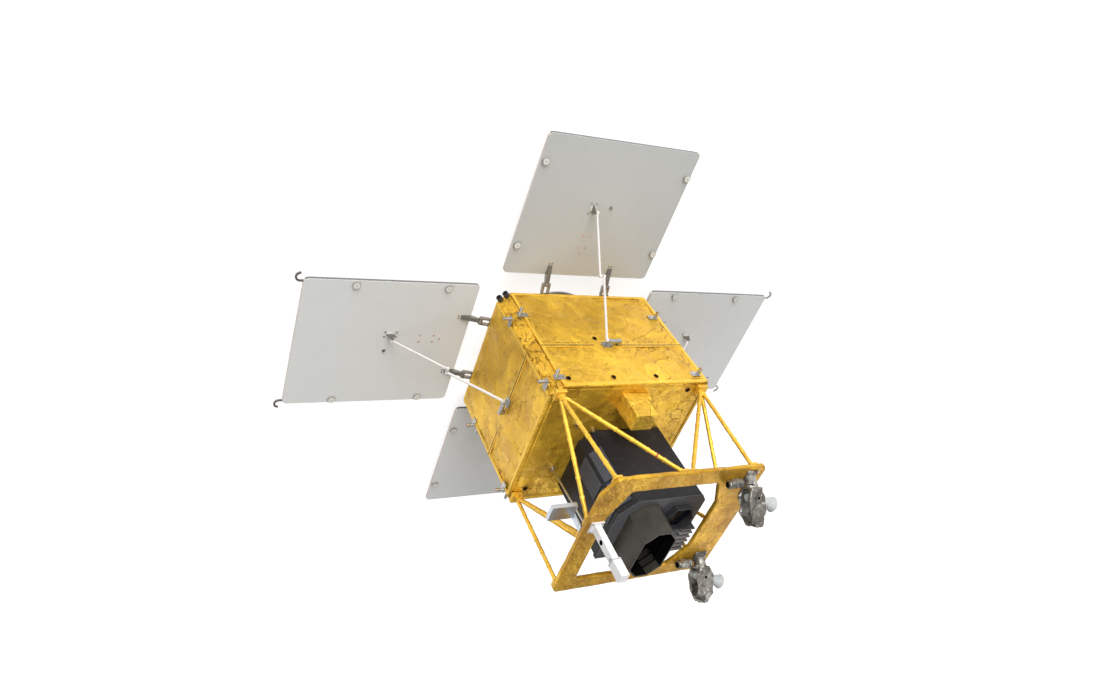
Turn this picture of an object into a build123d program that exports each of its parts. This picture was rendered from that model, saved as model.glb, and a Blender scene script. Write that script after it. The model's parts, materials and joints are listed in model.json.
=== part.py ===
from build123d import *
import os
from collections import namedtuple
from math import cos, radians, sin

os.makedirs("parts", exist_ok=True)

# Earth-observation satellite standing on its launch ring. Millimetres, +Z towards the imager.
# The origin is the centre of the ring's lower face. Outwards is away from the axis,
# across runs along a side of the body, and up is measured from the body's rear face.

# Launch ring
ring_height = 170.0
ring_bolt_circle_radius = 304.8
ring_flange_radius = ring_bolt_circle_radius + 27.2
ring_wall_radius = ring_bolt_circle_radius - 19.8
ring_wall = 7.0
ring_flange = 10.0
ring_bolt_radius = 3.5
ring_bolt_count = 24

# Body of honeycomb panels
body_width = 1000.0
body_depth = 860.0
body_height = 800.0
body_panel = 25.0
deck = 25.0
corner_cut_star = 60.0
corner_cut_plain = 35.0
panel_seam_height = 478.0
panel_seam_gap = 4.0
equipment_width = 420.0
equipment_depth = 360.0
equipment_height = 430.0
handling_hole_radius = 11.0
handling_hole_spacing = 277.0
handling_hole_height = 742.0
handling_hole_middle = 113.0
handling_hole_count = 3
deck_hole_radius = 12.0
deck_holes = ((374.0, 377.0), (-410.0, -333.0))
rear = ring_height
front = ring_height + body_height

# Sides given to small round pieces, and to the larger turned ones
small_round_sides = 16
turned_sides = 28

# Petals
petal_thickness = 20.0
petal_gap = 97.0
petal_long = 978.0
petal_short = 864.0
hinge_outwards = 45.0
petal_drop = 57.0
cell_thickness = 2.0
cell_strings = 8
cell_gap = 4.0
cell_margin = 12.0

# Petal hinges
hinge_up = -25.0
hinge_across = 205.0
hinge_barrel_radius = 12.0
hinge_pin_radius = 5.0
hinge_ear = 10.0
hinge_knuckle = 26.0
hinge_clearance = 1.0
pin_clearance = 0.3
hinge_arm_reach = 62.0
hinge_arm_depth = 14.0
hinge_arm_toe = 6.0
hinge_arm_shoulder = 0.7
hinge_foot = 8.0
hinge_foot_width = 62.0
hinge_foot_length = 40.0

# Folding struts
strut_offset = 48.0
strut_side_step = 24.0
strut_foot_outwards = 38.5
strut_foot_up = 478.0
strut_boss_radius = 10.0
strut_boss_width = 16.0
strut_body_link_radius = 7.5
strut_petal_link_radius = 6.0
strut_pin_radius = 5.0
strut_cheek = 8.0
strut_lug_half = 26.0
strut_cheek_gap = 1.0
strut_base = 8.0
strut_base_long = 62.0
strut_base_tall = 46.0
strut_motor_radius = 13.0
strut_motor_length = 78.0
strut_motor_foot = 16.0

# Launch hold-downs: cups on the petals' plain faces, posts on the body
cup_outwards = (285.0, 803.0)
cup_inset = 27.0
cup_radius = 20.0
cup_bore_radius = 9.0
cup_height = 12.0
post_height = 50.0
post_radius = 10.0
post_base = 5.0
post_base_long = 62.0
post_base_tall = 36.0

# Curved hooks at the outer corners of the two longer petals
hook_leg = 16.0
hook_radius = 24.0
hook_width = 11.0
hook_inset = 20.0
hook_thickness = 10.0

# Truss and its ring frame
frame_front = 1425.0
frame_thickness = 25.0
frame_side_inset = 14.0
frame_end_inset = 16.0
frame_corner_cut_across = 70.0
frame_corner_cut_along = 105.0
frame_corner_radius = 35.0
frame_inner_radius = 35.0
frame_bar_right = 198.0
frame_bar_left = 104.0
frame_bar_top = 94.0
frame_bar_bottom = 81.0
frame_facet_right_top = (75.0, 171.0)
frame_facet_left_top = (71.0, 173.0)
frame_facet_right_bottom = (98.0, 136.0)
tube_radius = 11.0
foot_inset = 45.0
foot_size = 64.0
foot_height = 26.0
node_size = 46.0
node_height = 16.0

# Imager
imager_back = 95.0
imager_front = -330.0
imager_left = -200.0
imager_right = 332.0
imager_height = 521.0
imager_corner = 80.0
imager_flange = 26.0
imager_flange_lip = 9.0
imager_body_right = 300.0
skin_thickness = 6.0
skin_width = 116.0
skin_middle = -48.0
skin_rows = ((110.0, 205.0), (330.0, 150.0))
facet_skin_width = 78.0
hood_root_middle = (-30.0, -122.0)
hood_root_size = (216.0, 384.0)
hood_mouth_middle = (-14.0, -138.0)
hood_mouth_size = (204.0, 340.0)
hood_corner = 60.0
hood_length = 160.0
hood_wall = 6.0
hood_depth = 150.0
finder_across = 182.0
finder_along = -42.0
finder_radius = 96.0
finder_length = 34.0
finder_wall = 6.0
fin_count = 6
fin_across = 286.0
fin_along = -212.0
fin_width = 88.0
fin_pitch = 34.0
fin_thickness = 8.0
fin_height = 34.0
fin_base = 8.0

# Deck equipment
deck_box_across = 12.0
deck_box_along = 312.0
deck_box_width = 135.0
deck_box_depth = 105.0
deck_box_height = 175.0
deck_step_width = 35.0
deck_step_height = 50.0

# Telemetry mast on the frame
mast_across = -424.0
mast_along = 90.0
mast_width = 34.0
mast_depth = 42.0
mast_height = 195.0
mast_head_width = 46.0
mast_head_depth = 52.0
mast_head_height = 100.0
mast_flange = 70.0
mast_flange_thickness = 8.0

# Feed rod from the deck to the mast, and the flat antenna under the frame's left bar
feed_foot = (-292.0, -181.0)
feed_head = (-435.0, 40.0)
feed_radius = 6.0
feed_end_radius = 13.0
feed_end_height = 12.0
patch_across = -546.0
patch_along = 70.0
patch_width = 140.0
patch_depth = 90.0
patch_thickness = 24.0
patch_drop = 90.0
patch_web = 8.0
patch_web_across = -482.0
patch_web_along = 48.0
patch_web_depth = 34.0

# Rear corner sensors
sensor_radius = 17.0
sensor_height = 30.0
sensor_spread = 21.0

# Two-axis antenna gimbals
gimbal_across = 404.0
gimbal_along = (352.0, -290.0)
gimbal_tilt = 45.0
gimbal_flange = 76.0
gimbal_flange_thickness = 8.0
gimbal_stator_radius = 30.0
gimbal_stator_end = 44.0
gimbal_can_radius = 22.0
gimbal_can_length = 90.0
gimbal_can_start = (-60.0, -27.0)
gimbal_gap = 1.0
gimbal_rotor_radius = 32.0
gimbal_rotor_length = 16.0
gimbal_bridge = 8.0
gimbal_cheek_offset = 34.0
gimbal_cheek = 9.0
gimbal_cheek_root = 60.0
gimbal_cheek_width = 108.0
gimbal_cheek_shoulders = (104.0, 182.0)
gimbal_cheek_end = 256.0
gimbal_tip_width = 34.0
gimbal_tip_block = 20.0
gimbal_axis_reach = 112.0
horn_rest_angle = 20.0
horn_drum_radius = 24.0
horn_drum_gap = 1.0
horn_neck_radius = 13.0
horn_neck_end = 58.0
horn_throat = 62.0
horn_mouth_radius = 40.0
horn_mouth_end = 138.0
horn_wall = 3.0

Side = namedtuple("Side", "name outward half_width petal_radial petal_across strut_sign hooks")
sides = (
    Side("x_plus", Vector(1, 0, 0), body_width / 2, petal_long, petal_short, 1, True),
    Side("x_minus", Vector(-1, 0, 0), body_width / 2, petal_long, petal_short, -1, True),
    Side("y_plus", Vector(0, 1, 0), body_depth / 2, petal_short, petal_long, 1, False),
    Side("y_minus", Vector(0, -1, 0), body_depth / 2, petal_short, petal_long, -1, False),
)
up_direction = Vector(0, 0, 1)


def side_plane(side):
    """Plane on the body's rear edge: x outwards, y across, z up."""
    origin = side.outward * side.half_width + up_direction * rear
    return Plane(origin=origin, x_dir=side.outward, z_dir=up_direction)


def profile_plane(side, across):
    """Plane square to a side: x outwards, y up, its normal against the across direction."""
    origin = side_plane(side).from_local_coords((0, across, 0))
    return Plane(origin=origin, x_dir=side.outward, z_dir=side.outward.cross(up_direction))


def rounded(radius, sides=small_round_sides, hole=False, mode=Mode.ADD):
    """Round outline drawn with few sides; a hole keeps its full radius between the flats."""
    return RegularPolygon(radius, sides, major_radius=not hole, mode=mode)


def save(part, name):
    """Labels a finished piece and writes it under its own name."""
    part.label = name
    export_step(part, f"parts/{name}.step")


def inset_vertex(before, here, after, distance):
    """Corner of an anticlockwise outline, moved inwards by the same distance from both edges."""
    first = (here - before).normalized()
    second = (after - here).normalized()
    first_normal = Vector(-first.Y, first.X, 0)
    second_normal = Vector(-second.Y, second.X, 0)
    bisector = first_normal + second_normal
    return here + bisector * (distance / bisector.dot(first_normal))


# Body outline, anticlockwise from the +X side; two corners are cut off.
half_x = body_width / 2
half_y = body_depth / 2
body_outline = [
    Vector(half_x, -half_y),
    Vector(half_x, half_y),
    Vector(-half_x + corner_cut_star, half_y),
    Vector(-half_x, half_y - corner_cut_star),
    Vector(-half_x, -half_y + corner_cut_plain),
    Vector(-half_x + corner_cut_plain, -half_y),
]
corner_total = len(body_outline)
inner_outline = [
    inset_vertex(
        body_outline[i - 1], body_outline[i], body_outline[(i + 1) % corner_total], body_panel
    )
    for i in range(corner_total)
]

# Launch ring: a channel section turned round the axis
with BuildPart() as launch_ring:
    with BuildSketch(Plane.XZ):
        with BuildLine():
            Polyline(
                (ring_wall_radius, 0),
                (ring_flange_radius, 0),
                (ring_flange_radius, ring_flange),
                (ring_wall_radius + ring_wall, ring_flange),
                (ring_wall_radius + ring_wall, ring_height - ring_flange),
                (ring_flange_radius, ring_height - ring_flange),
                (ring_flange_radius, ring_height),
                (ring_wall_radius, ring_height),
                close=True,
            )
        make_face()
    revolve(axis=Axis.Z)
    with Locations(Plane.XY.offset(ring_flange)):
        with PolarLocations(ring_bolt_circle_radius, ring_bolt_count):
            Hole(ring_bolt_radius, depth=ring_flange)
save(launch_ring.part, "launch_ring")

# Decks fit inside the side panels
for deck_name, deck_bottom in (("base_deck", rear), ("payload_deck", front - deck)):
    with BuildPart() as deck_plate:
        with BuildSketch(Plane.XY.offset(deck_bottom)):
            with BuildLine():
                Polyline(*inner_outline, close=True)
            make_face()
        extrude(amount=deck)
        if deck_name == "payload_deck":
            with Locations(Plane.XY.offset(front)):
                with Locations(*deck_holes):
                    Hole(deck_hole_radius, depth=deck)
    save(deck_plate.part, deck_name)

# Batteries, tank and electronics as one mass on the base deck
with BuildPart() as equipment:
    with Locations((0, 0, rear + deck)):
        Box(
            equipment_width,
            equipment_depth,
            equipment_height,
            align=(Align.CENTER, Align.CENTER, Align.MIN),
        )
save(equipment.part, "equipment_block")

# Side panels, each a lower and an upper board; the cut corners are closed by strips.
lower_board = (rear, rear + panel_seam_height - panel_seam_gap / 2)
upper_board = (rear + panel_seam_height + panel_seam_gap / 2, front)
wall_names = (
    ("side_panel_x_plus", (0,)),
    ("side_panel_y_plus", (1,)),
    ("side_panel_x_minus", (3,)),
    ("side_panel_y_minus", (5,)),
    ("corner_strips", (2, 4)),
)
for wall_name, edges in wall_names:
    with BuildPart() as wall:
        for i in edges:
            j = (i + 1) % corner_total
            for board_bottom, board_top in (lower_board, upper_board):
                with BuildSketch(Plane.XY.offset(board_bottom)):
                    with BuildLine():
                        Polyline(
                            body_outline[i],
                            body_outline[j],
                            inner_outline[j],
                            inner_outline[i],
                            close=True,
                        )
                    make_face()
                extrude(amount=board_top - board_bottom)
        if wall_name == "side_panel_y_plus":
            hole_plane = Plane(
                origin=(0, half_y, rear + handling_hole_height), x_dir=(-1, 0, 0), z_dir=(0, 1, 0)
            )
            with Locations(hole_plane):
                with Locations((handling_hole_middle, 0)):
                    with GridLocations(handling_hole_spacing, 1, handling_hole_count, 1):
                        Hole(handling_hole_radius, depth=body_panel)
    save(wall.part, wall_name)

# Petals hang on a hinge line just outside the rear edge and lie flat when open.
petal_top = -petal_drop
hinge_point = (hinge_outwards, hinge_up)
for side in sides:
    floor = side_plane(side)
    petal_middle = petal_gap + side.petal_radial / 2
    strut_across = side.strut_sign * (strut_offset + strut_side_step / 2)
    body_link_across = side.strut_sign * (strut_offset - strut_side_step / 2)
    strut_tip_outwards = hinge_outwards + (strut_foot_up - hinge_up)
    strut_tip_up = hinge_up + (hinge_outwards - strut_foot_outwards)

    with BuildPart() as petal_panel:
        with Locations(floor):
            with Locations((petal_middle, 0, petal_top - petal_thickness / 2)):
                Box(side.petal_radial, side.petal_across, petal_thickness)
    save(petal_panel.part, f"petal_{side.name}_panel")

    string_width = (side.petal_across - 2 * cell_margin + cell_gap) / cell_strings - cell_gap
    with BuildPart() as cells:
        with Locations(floor):
            with Locations(
                (petal_middle, 0, petal_top - petal_thickness - cell_thickness / 2)
            ):
                with GridLocations(0, string_width + cell_gap, 1, cell_strings):
                    Box(side.petal_radial - 2 * cell_margin, string_width, cell_thickness)
    save(cells.part, f"petal_{side.name}_cells")

    # Hinge arms, cleats, corner hooks and the strut's lug on the petal's plain face
    with BuildPart() as fittings:
        for arm_across in (-hinge_across, hinge_across):
            with BuildSketch(profile_plane(side, arm_across)):
                with BuildLine():
                    Polyline(
                        (hinge_outwards - hinge_barrel_radius * hinge_arm_shoulder, hinge_up),
                        (hinge_outwards, hinge_up + hinge_barrel_radius * hinge_arm_shoulder),
                        (petal_gap + hinge_arm_reach, petal_top + hinge_arm_depth / 2),
                        (petal_gap + hinge_arm_reach, petal_top),
                        (petal_gap, petal_top),
                        (petal_gap - hinge_arm_toe, petal_top),
                        close=True,
                    )
                make_face()
                with Locations(hinge_point):
                    rounded(hinge_barrel_radius)
                    rounded(hinge_pin_radius + pin_clearance, hole=True, mode=Mode.SUBTRACT)
            extrude(amount=hinge_knuckle / 2, both=True)
        cup_places = [
            (place, edge * (side.petal_across / 2 - cup_inset))
            for place in cup_outwards
            for edge in (-1, 1)
        ]
        with BuildSketch(floor.offset(petal_top)):
            with Locations(*cup_places):
                rounded(cup_radius)
                rounded(cup_bore_radius, mode=Mode.SUBTRACT)
        extrude(amount=cup_height)
        if side.hooks:
            for edge in (-1, 1):
                hook_origin = floor.from_local_coords(
                    (
                        petal_gap + side.petal_radial,
                        edge * (side.petal_across / 2 - hook_inset),
                        petal_top - petal_thickness / 2,
                    )
                )
                with BuildSketch(Plane(origin=hook_origin, x_dir=side.outward, z_dir=(0, 0, 1))):
                    with Locations((hook_leg, edge * hook_radius)):
                        Circle(hook_radius + hook_width / 2)
                        Circle(hook_radius - hook_width / 2, mode=Mode.SUBTRACT)
                    with Locations((hook_leg + hook_radius, edge * hook_radius)):
                        Rectangle(2 * hook_radius, 4 * hook_radius, mode=Mode.INTERSECT)
                    with Locations((hook_leg / 2, 0)):
                        Rectangle(hook_leg, hook_width)
                extrude(amount=hook_thickness / 2, both=True)
        lug_across = strut_across + side.strut_sign * (
            strut_boss_width / 2 + strut_cheek_gap + strut_cheek / 2
        )
        with BuildSketch(profile_plane(side, lug_across)):
            with BuildLine():
                Polyline(
                    (strut_tip_outwards - strut_lug_half, petal_top),
                    (strut_tip_outwards + strut_lug_half, petal_top),
                    (strut_tip_outwards + strut_boss_radius, strut_tip_up),
                    (strut_tip_outwards - strut_boss_radius, strut_tip_up),
                    close=True,
                )
            make_face()
            with Locations((strut_tip_outwards, strut_tip_up)):
                rounded(strut_boss_radius)
        extrude(amount=strut_cheek / 2, both=True)
        pin_middle = lug_across - side.strut_sign * (strut_cheek + strut_boss_width) / 2
        with BuildSketch(profile_plane(side, pin_middle)):
            with Locations((strut_tip_outwards, strut_tip_up)):
                rounded(strut_pin_radius)
        extrude(amount=strut_boss_width / 2, both=True)
    save(fittings.part, f"petal_{side.name}_fittings")

    # Fixed hinge halves under the body's rear edge
    with BuildPart() as hinge_base:
        for arm_across in (-hinge_across, hinge_across):
            ear_middle = hinge_knuckle / 2 + hinge_clearance + hinge_ear / 2
            for ear in (-ear_middle, ear_middle):
                with BuildSketch(profile_plane(side, arm_across + ear)):
                    with BuildLine():
                        Polyline(
                            (-hinge_foot_length, -hinge_foot / 2),
                            (0, hinge_up),
                            (hinge_outwards, hinge_up - hinge_barrel_radius),
                            (hinge_outwards, hinge_up + hinge_barrel_radius),
                            (0, -hinge_foot / 2),
                            close=True,
                        )
                    make_face()
                    with Locations(hinge_point):
                        rounded(hinge_barrel_radius)
                extrude(amount=hinge_ear / 2, both=True)
            with BuildSketch(profile_plane(side, arm_across)):
                with Locations(hinge_point):
                    rounded(hinge_pin_radius)
            extrude(amount=ear_middle, both=True)
            with Locations(floor):
                with Locations((-hinge_foot_length / 2, arm_across, -hinge_foot / 2)):
                    Box(hinge_foot_length, hinge_foot_width, hinge_foot)
    save(hinge_base.part, f"hinge_base_{side.name}")

    # Strut bracket half way up the side, with its spring motor
    with BuildPart() as strut_bracket:
        cheek_across = body_link_across - side.strut_sign * (
            strut_boss_width / 2 + strut_cheek_gap + strut_cheek / 2
        )
        with Locations(floor):
            with Locations((strut_base / 2, cheek_across, strut_foot_up)):
                Box(strut_base, strut_base_long, strut_base_tall)
        with BuildSketch(profile_plane(side, cheek_across)):
            with BuildLine():
                Polyline(
                    (strut_base / 2, strut_foot_up - strut_base_tall / 2),
                    (strut_foot_outwards, strut_foot_up - strut_boss_radius),
                    (strut_foot_outwards, strut_foot_up + strut_boss_radius),
                    (strut_base / 2, strut_foot_up + strut_base_tall / 2),
                    close=True,
                )
            make_face()
            with Locations((strut_foot_outwards, strut_foot_up)):
                rounded(strut_boss_radius)
        extrude(amount=strut_cheek / 2, both=True)
        pin_middle = cheek_across + side.strut_sign * (strut_cheek + strut_boss_width) / 2
        with BuildSketch(profile_plane(side, pin_middle)):
            with Locations((strut_foot_outwards, strut_foot_up)):
                rounded(strut_pin_radius)
        extrude(amount=strut_boss_width / 2, both=True)
        motor_middle = cheek_across - side.strut_sign * (strut_cheek + strut_motor_length) / 2
        with BuildSketch(profile_plane(side, motor_middle)):
            with Locations((strut_foot_outwards - strut_base, strut_foot_up)):
                rounded(strut_motor_radius)
        extrude(amount=strut_motor_length / 2, both=True)
        motor_end = motor_middle - side.strut_sign * (strut_motor_length - strut_motor_foot) / 2
        with Locations(floor):
            with Locations((strut_foot_outwards / 2, motor_end, strut_foot_up)):
                Box(strut_foot_outwards, strut_motor_foot, 2 * strut_motor_radius)
    save(strut_bracket.part, f"strut_bracket_{side.name}")

    # Two straight links meet in the middle of the open strut
    elbow = (
        (strut_foot_outwards + strut_tip_outwards) / 2,
        (strut_foot_up + strut_tip_up) / 2,
    )
    link_rows = (
        ("body", body_link_across, (strut_foot_outwards, strut_foot_up), strut_body_link_radius),
        ("petal", strut_across, (strut_tip_outwards, strut_tip_up), strut_petal_link_radius),
    )
    for link_name, link_across, pivot, tube in link_rows:
        plane = profile_plane(side, link_across)
        start = plane.from_local_coords((*pivot, 0))
        finish = plane.from_local_coords((*elbow, 0))
        with BuildPart() as link:
            with BuildSketch(Plane(origin=start, z_dir=finish - start)):
                rounded(tube)
            extrude(amount=(finish - start).length)
            with BuildSketch(plane):
                with Locations(pivot, elbow):
                    rounded(strut_boss_radius)
            extrude(amount=strut_boss_width / 2, both=True)
            with BuildSketch(plane):
                with Locations(pivot):
                    rounded(strut_pin_radius + pin_clearance, hole=True)
            extrude(amount=strut_boss_width / 2, both=True, mode=Mode.SUBTRACT)
        save(link.part, f"strut_{link_name}_link_{side.name}")

# Hold-down posts on the side panels, each under the petal's cup once the petal is folded
with BuildPart() as posts:
    for side in sides:
        for place in cup_outwards:
            post_up = hinge_up + (place - hinge_outwards)
            for edge in (-1, 1):
                post_across = edge * (side.petal_across / 2 - cup_inset)
                base_across = post_across - edge * (post_base_long / 2 - post_radius)
                with Locations(side_plane(side)):
                    with Locations((post_base / 2, base_across, post_up)):
                        Box(post_base, post_base_long, post_base_tall)
                post_start = side_plane(side).from_local_coords((0, post_across, post_up))
                with BuildSketch(Plane(origin=post_start, z_dir=side.outward)):
                    rounded(post_radius)
                extrude(amount=post_height)
save(posts.part, "hold_down_posts")

# Ring frame on top of the truss
frame_x = half_x - frame_side_inset
frame_y = half_y - frame_end_inset
frame_outer = (
    (frame_x, -frame_y),
    (frame_x, frame_y),
    (-frame_x + frame_corner_cut_across, frame_y),
    (-frame_x, frame_y - frame_corner_cut_along),
    (-frame_x, -frame_y),
)
inner_right = frame_x - frame_bar_right
inner_left = -frame_x + frame_bar_left
inner_top = frame_y - frame_bar_top
inner_bottom = -frame_y + frame_bar_bottom
frame_inner = (
    (inner_right, inner_bottom + frame_facet_right_bottom[1]),
    (inner_right, inner_top - frame_facet_right_top[1]),
    (inner_right - frame_facet_right_top[0], inner_top),
    (inner_left + frame_facet_left_top[0], inner_top),
    (inner_left, inner_top - frame_facet_left_top[1]),
    (inner_left, inner_bottom),
    (inner_right - frame_facet_right_bottom[0], inner_bottom),
)
frame_top = rear + frame_front
with BuildPart() as truss_frame:
    with BuildSketch(Plane.XY.offset(frame_top - frame_thickness)):
        with BuildLine():
            Polyline(*frame_outer, close=True)
        make_face()
        fillet(vertices(), radius=frame_corner_radius)
        with BuildSketch(mode=Mode.SUBTRACT):
            with BuildLine():
                Polyline(*frame_inner, close=True)
            make_face()
            fillet(vertices(), radius=frame_inner_radius)
    extrude(amount=frame_thickness)
save(truss_frame.part, "truss_frame")

# Three tubes rise from each corner of the deck to the frame. Each row gives the corner and,
# as shares of the frame's half sizes, where its three tubes end.
leg_rows = (
    ("leg_front_left", (-1, 1), ((-0.84, 0.92), (-0.03, 0.92), (-0.94, 0.23))),
    ("leg_front_right", (1, 1), ((0.87, 0.92), (0.08, 0.9), (0.83, 0.16))),
    ("leg_back_left", (-1, -1), ((-0.94, -0.91), (-0.03, -0.9), (-0.94, 0.0))),
    ("leg_back_right", (1, -1), ((0.87, -0.91), (0.08, -0.9), (0.83, -0.13))),
)
for leg_name, corner, heads in leg_rows:
    foot_centre = Vector(
        corner[0] * (half_x - foot_inset), corner[1] * (half_y - foot_inset), front + foot_height / 2
    )
    with BuildPart() as leg:
        with Locations(foot_centre):
            Box(foot_size, foot_size, foot_height)
        for head in heads:
            head_centre = Vector(
                head[0] * frame_x, head[1] * frame_y, frame_top - frame_thickness - node_height / 2
            )
            with Locations(head_centre):
                Box(node_size, node_size, node_height)
            with BuildSketch(Plane(origin=foot_centre, z_dir=head_centre - foot_centre)):
                rounded(tube_radius)
            extrude(amount=(head_centre - foot_centre).length)
    save(leg.part, leg_name)

# Imager: a box with one corner cut off, a wider front flange and raised skins on its left
imager_body = (
    (imager_left, imager_front),
    (imager_body_right, imager_front),
    (imager_body_right, imager_back),
    (imager_left + imager_corner, imager_back),
    (imager_left, imager_back - imager_corner),
)
flange_left = imager_left - imager_flange_lip
flange_back = imager_back + imager_flange_lip
flange_outline = (
    (flange_left, imager_front),
    (imager_right, imager_front),
    (imager_right, imager_back - imager_corner / 2),
    (imager_right - imager_corner / 2, flange_back),
    (imager_left + imager_corner, flange_back),
    (flange_left, imager_back - imager_corner),
)
imager_top = front + imager_height
with BuildPart() as imager:
    with BuildSketch(Plane.XY.offset(front)):
        with BuildLine():
            Polyline(*imager_body, close=True)
        make_face()
    extrude(amount=imager_height - imager_flange)
    with BuildSketch(Plane.XY.offset(imager_top - imager_flange)):
        with BuildLine():
            Polyline(*flange_outline, close=True)
        make_face()
    extrude(amount=imager_flange)
    for skin_start, skin_tall in skin_rows:
        with Locations(
            (imager_left - skin_thickness / 2, skin_middle, front + skin_start + skin_tall / 2)
        ):
            Box(skin_thickness, skin_width, skin_tall)
        facet_middle = Vector(
            imager_left + imager_corner / 2,
            imager_back - imager_corner / 2,
            front + skin_start + skin_tall / 2,
        )
        facet_plane = Plane(origin=facet_middle, x_dir=(1, 1, 0), z_dir=(-1, 1, 0))
        with BuildSketch(facet_plane):
            Rectangle(facet_skin_width, skin_tall)
        extrude(amount=skin_thickness)
save(imager.part, "imager_box")


# Lens hood: a flat-sided tube that leans and narrows towards its mouth
hood_rows = (
    (imager_top, hood_root_middle, hood_root_size, 0, Mode.ADD),
    (imager_top + hood_length - hood_depth, hood_root_middle, hood_root_size, hood_wall, Mode.SUBTRACT),
)
with BuildPart() as hood:
    for root_height, root_middle, root_size, wall_share, mode in hood_rows:
        ends = (
            (root_height, root_middle, root_size),
            (imager_top + hood_length, hood_mouth_middle, hood_mouth_size),
        )
        for end_height, end_middle, end_size in ends:
            with BuildSketch(Plane.XY.offset(end_height)):
                with Locations(end_middle):
                    Rectangle(end_size[0] - 2 * wall_share, end_size[1] - 2 * wall_share)
                chamfer(vertices(), length=hood_corner)
        loft(mode=mode)
save(hood.part, "imager_hood")

with BuildPart() as radiator:
    with BuildSketch(Plane.XY.offset(imager_top)):
        with Locations((finder_across, finder_along)):
            RegularPolygon(finder_radius, 6)
            RegularPolygon(finder_radius - finder_wall, 6, mode=Mode.SUBTRACT)
    extrude(amount=finder_length)
    with BuildSketch(Plane.XY.offset(imager_top)):
        with Locations((fin_across, fin_along)):
            Rectangle(fin_width, fin_pitch * (fin_count - 1) + fin_thickness)
    extrude(amount=fin_base)
    with BuildSketch(Plane.XY.offset(imager_top + fin_base)):
        with Locations((fin_across, fin_along)):
            with GridLocations(0, fin_pitch, 1, fin_count):
                Rectangle(fin_width, fin_thickness)
    extrude(amount=fin_height)
save(radiator.part, "imager_radiator")

# Small box on the deck
with BuildPart() as deck_box:
    with Locations((deck_box_across, deck_box_along, front)):
        Box(
            deck_box_width,
            deck_box_depth,
            deck_box_height,
            align=(Align.CENTER, Align.CENTER, Align.MIN),
        )
    step_across = deck_box_across + (deck_box_width + deck_step_width) / 2
    with Locations((step_across, deck_box_along, front)):
        Box(
            deck_step_width,
            deck_box_depth,
            deck_step_height,
            align=(Align.CENTER, Align.CENTER, Align.MIN),
        )
save(deck_box.part, "deck_box")

# Telemetry mast standing on the frame
with BuildPart() as mast:
    with BuildSketch(Plane.XY.offset(frame_top)):
        with Locations((mast_across, mast_along)):
            Rectangle(mast_flange, mast_flange)
    extrude(amount=mast_flange_thickness)
    with BuildSketch(Plane.XY.offset(frame_top + mast_flange_thickness)):
        with Locations((mast_across, mast_along)):
            Rectangle(mast_width, mast_depth)
    extrude(amount=mast_height)
    with BuildSketch(Plane.XY.offset(frame_top + mast_flange_thickness + mast_height)):
        with Locations((mast_across, mast_along)):
            Rectangle(mast_head_width, mast_head_depth)
    extrude(amount=mast_head_height)
save(mast.part, "telemetry_mast")

# Feed rod from the deck to the root of the mast
frame_bottom = frame_top - frame_thickness
feed_start = Vector(*feed_foot, front + feed_end_height / 2)
feed_finish = Vector(*feed_head, frame_bottom - feed_end_height / 2)
with BuildPart() as feed_rod:
    for end in (feed_start, feed_finish):
        with BuildSketch(Plane(origin=end)):
            rounded(feed_end_radius)
        extrude(amount=feed_end_height / 2, both=True)
    with BuildSketch(Plane(origin=feed_start, z_dir=feed_finish - feed_start)):
        rounded(feed_radius)
    extrude(amount=(feed_finish - feed_start).length)
save(feed_rod.part, "feed_rod")

# Flat antenna hung below the frame's left bar
with BuildPart() as patch:
    with Locations((patch_across, patch_along, frame_bottom - patch_drop - patch_thickness / 2)):
        Box(patch_width, patch_depth, patch_thickness)
    with Locations((patch_web_across, patch_web_along, frame_bottom - patch_drop / 2)):
        Box(patch_web, patch_web_depth, patch_drop)
save(patch.part, "patch_antenna")

# Two sun sensors side by side at the rear of the cut corner
corner_outward = Vector(-1, 1, 0).normalized()
corner_across = Vector(1, 1, 0).normalized()
corner_middle = (body_outline[2] + body_outline[3]) * 0.5
with BuildPart() as sensors:
    for spread in (-sensor_spread, sensor_spread):
        start = corner_middle + corner_across * spread + up_direction * (rear + sensor_radius)
        with BuildSketch(Plane(origin=start, z_dir=corner_outward)):
            rounded(sensor_radius)
        extrude(amount=sensor_height)
save(sensors.part, "rear_sensors")

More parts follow.
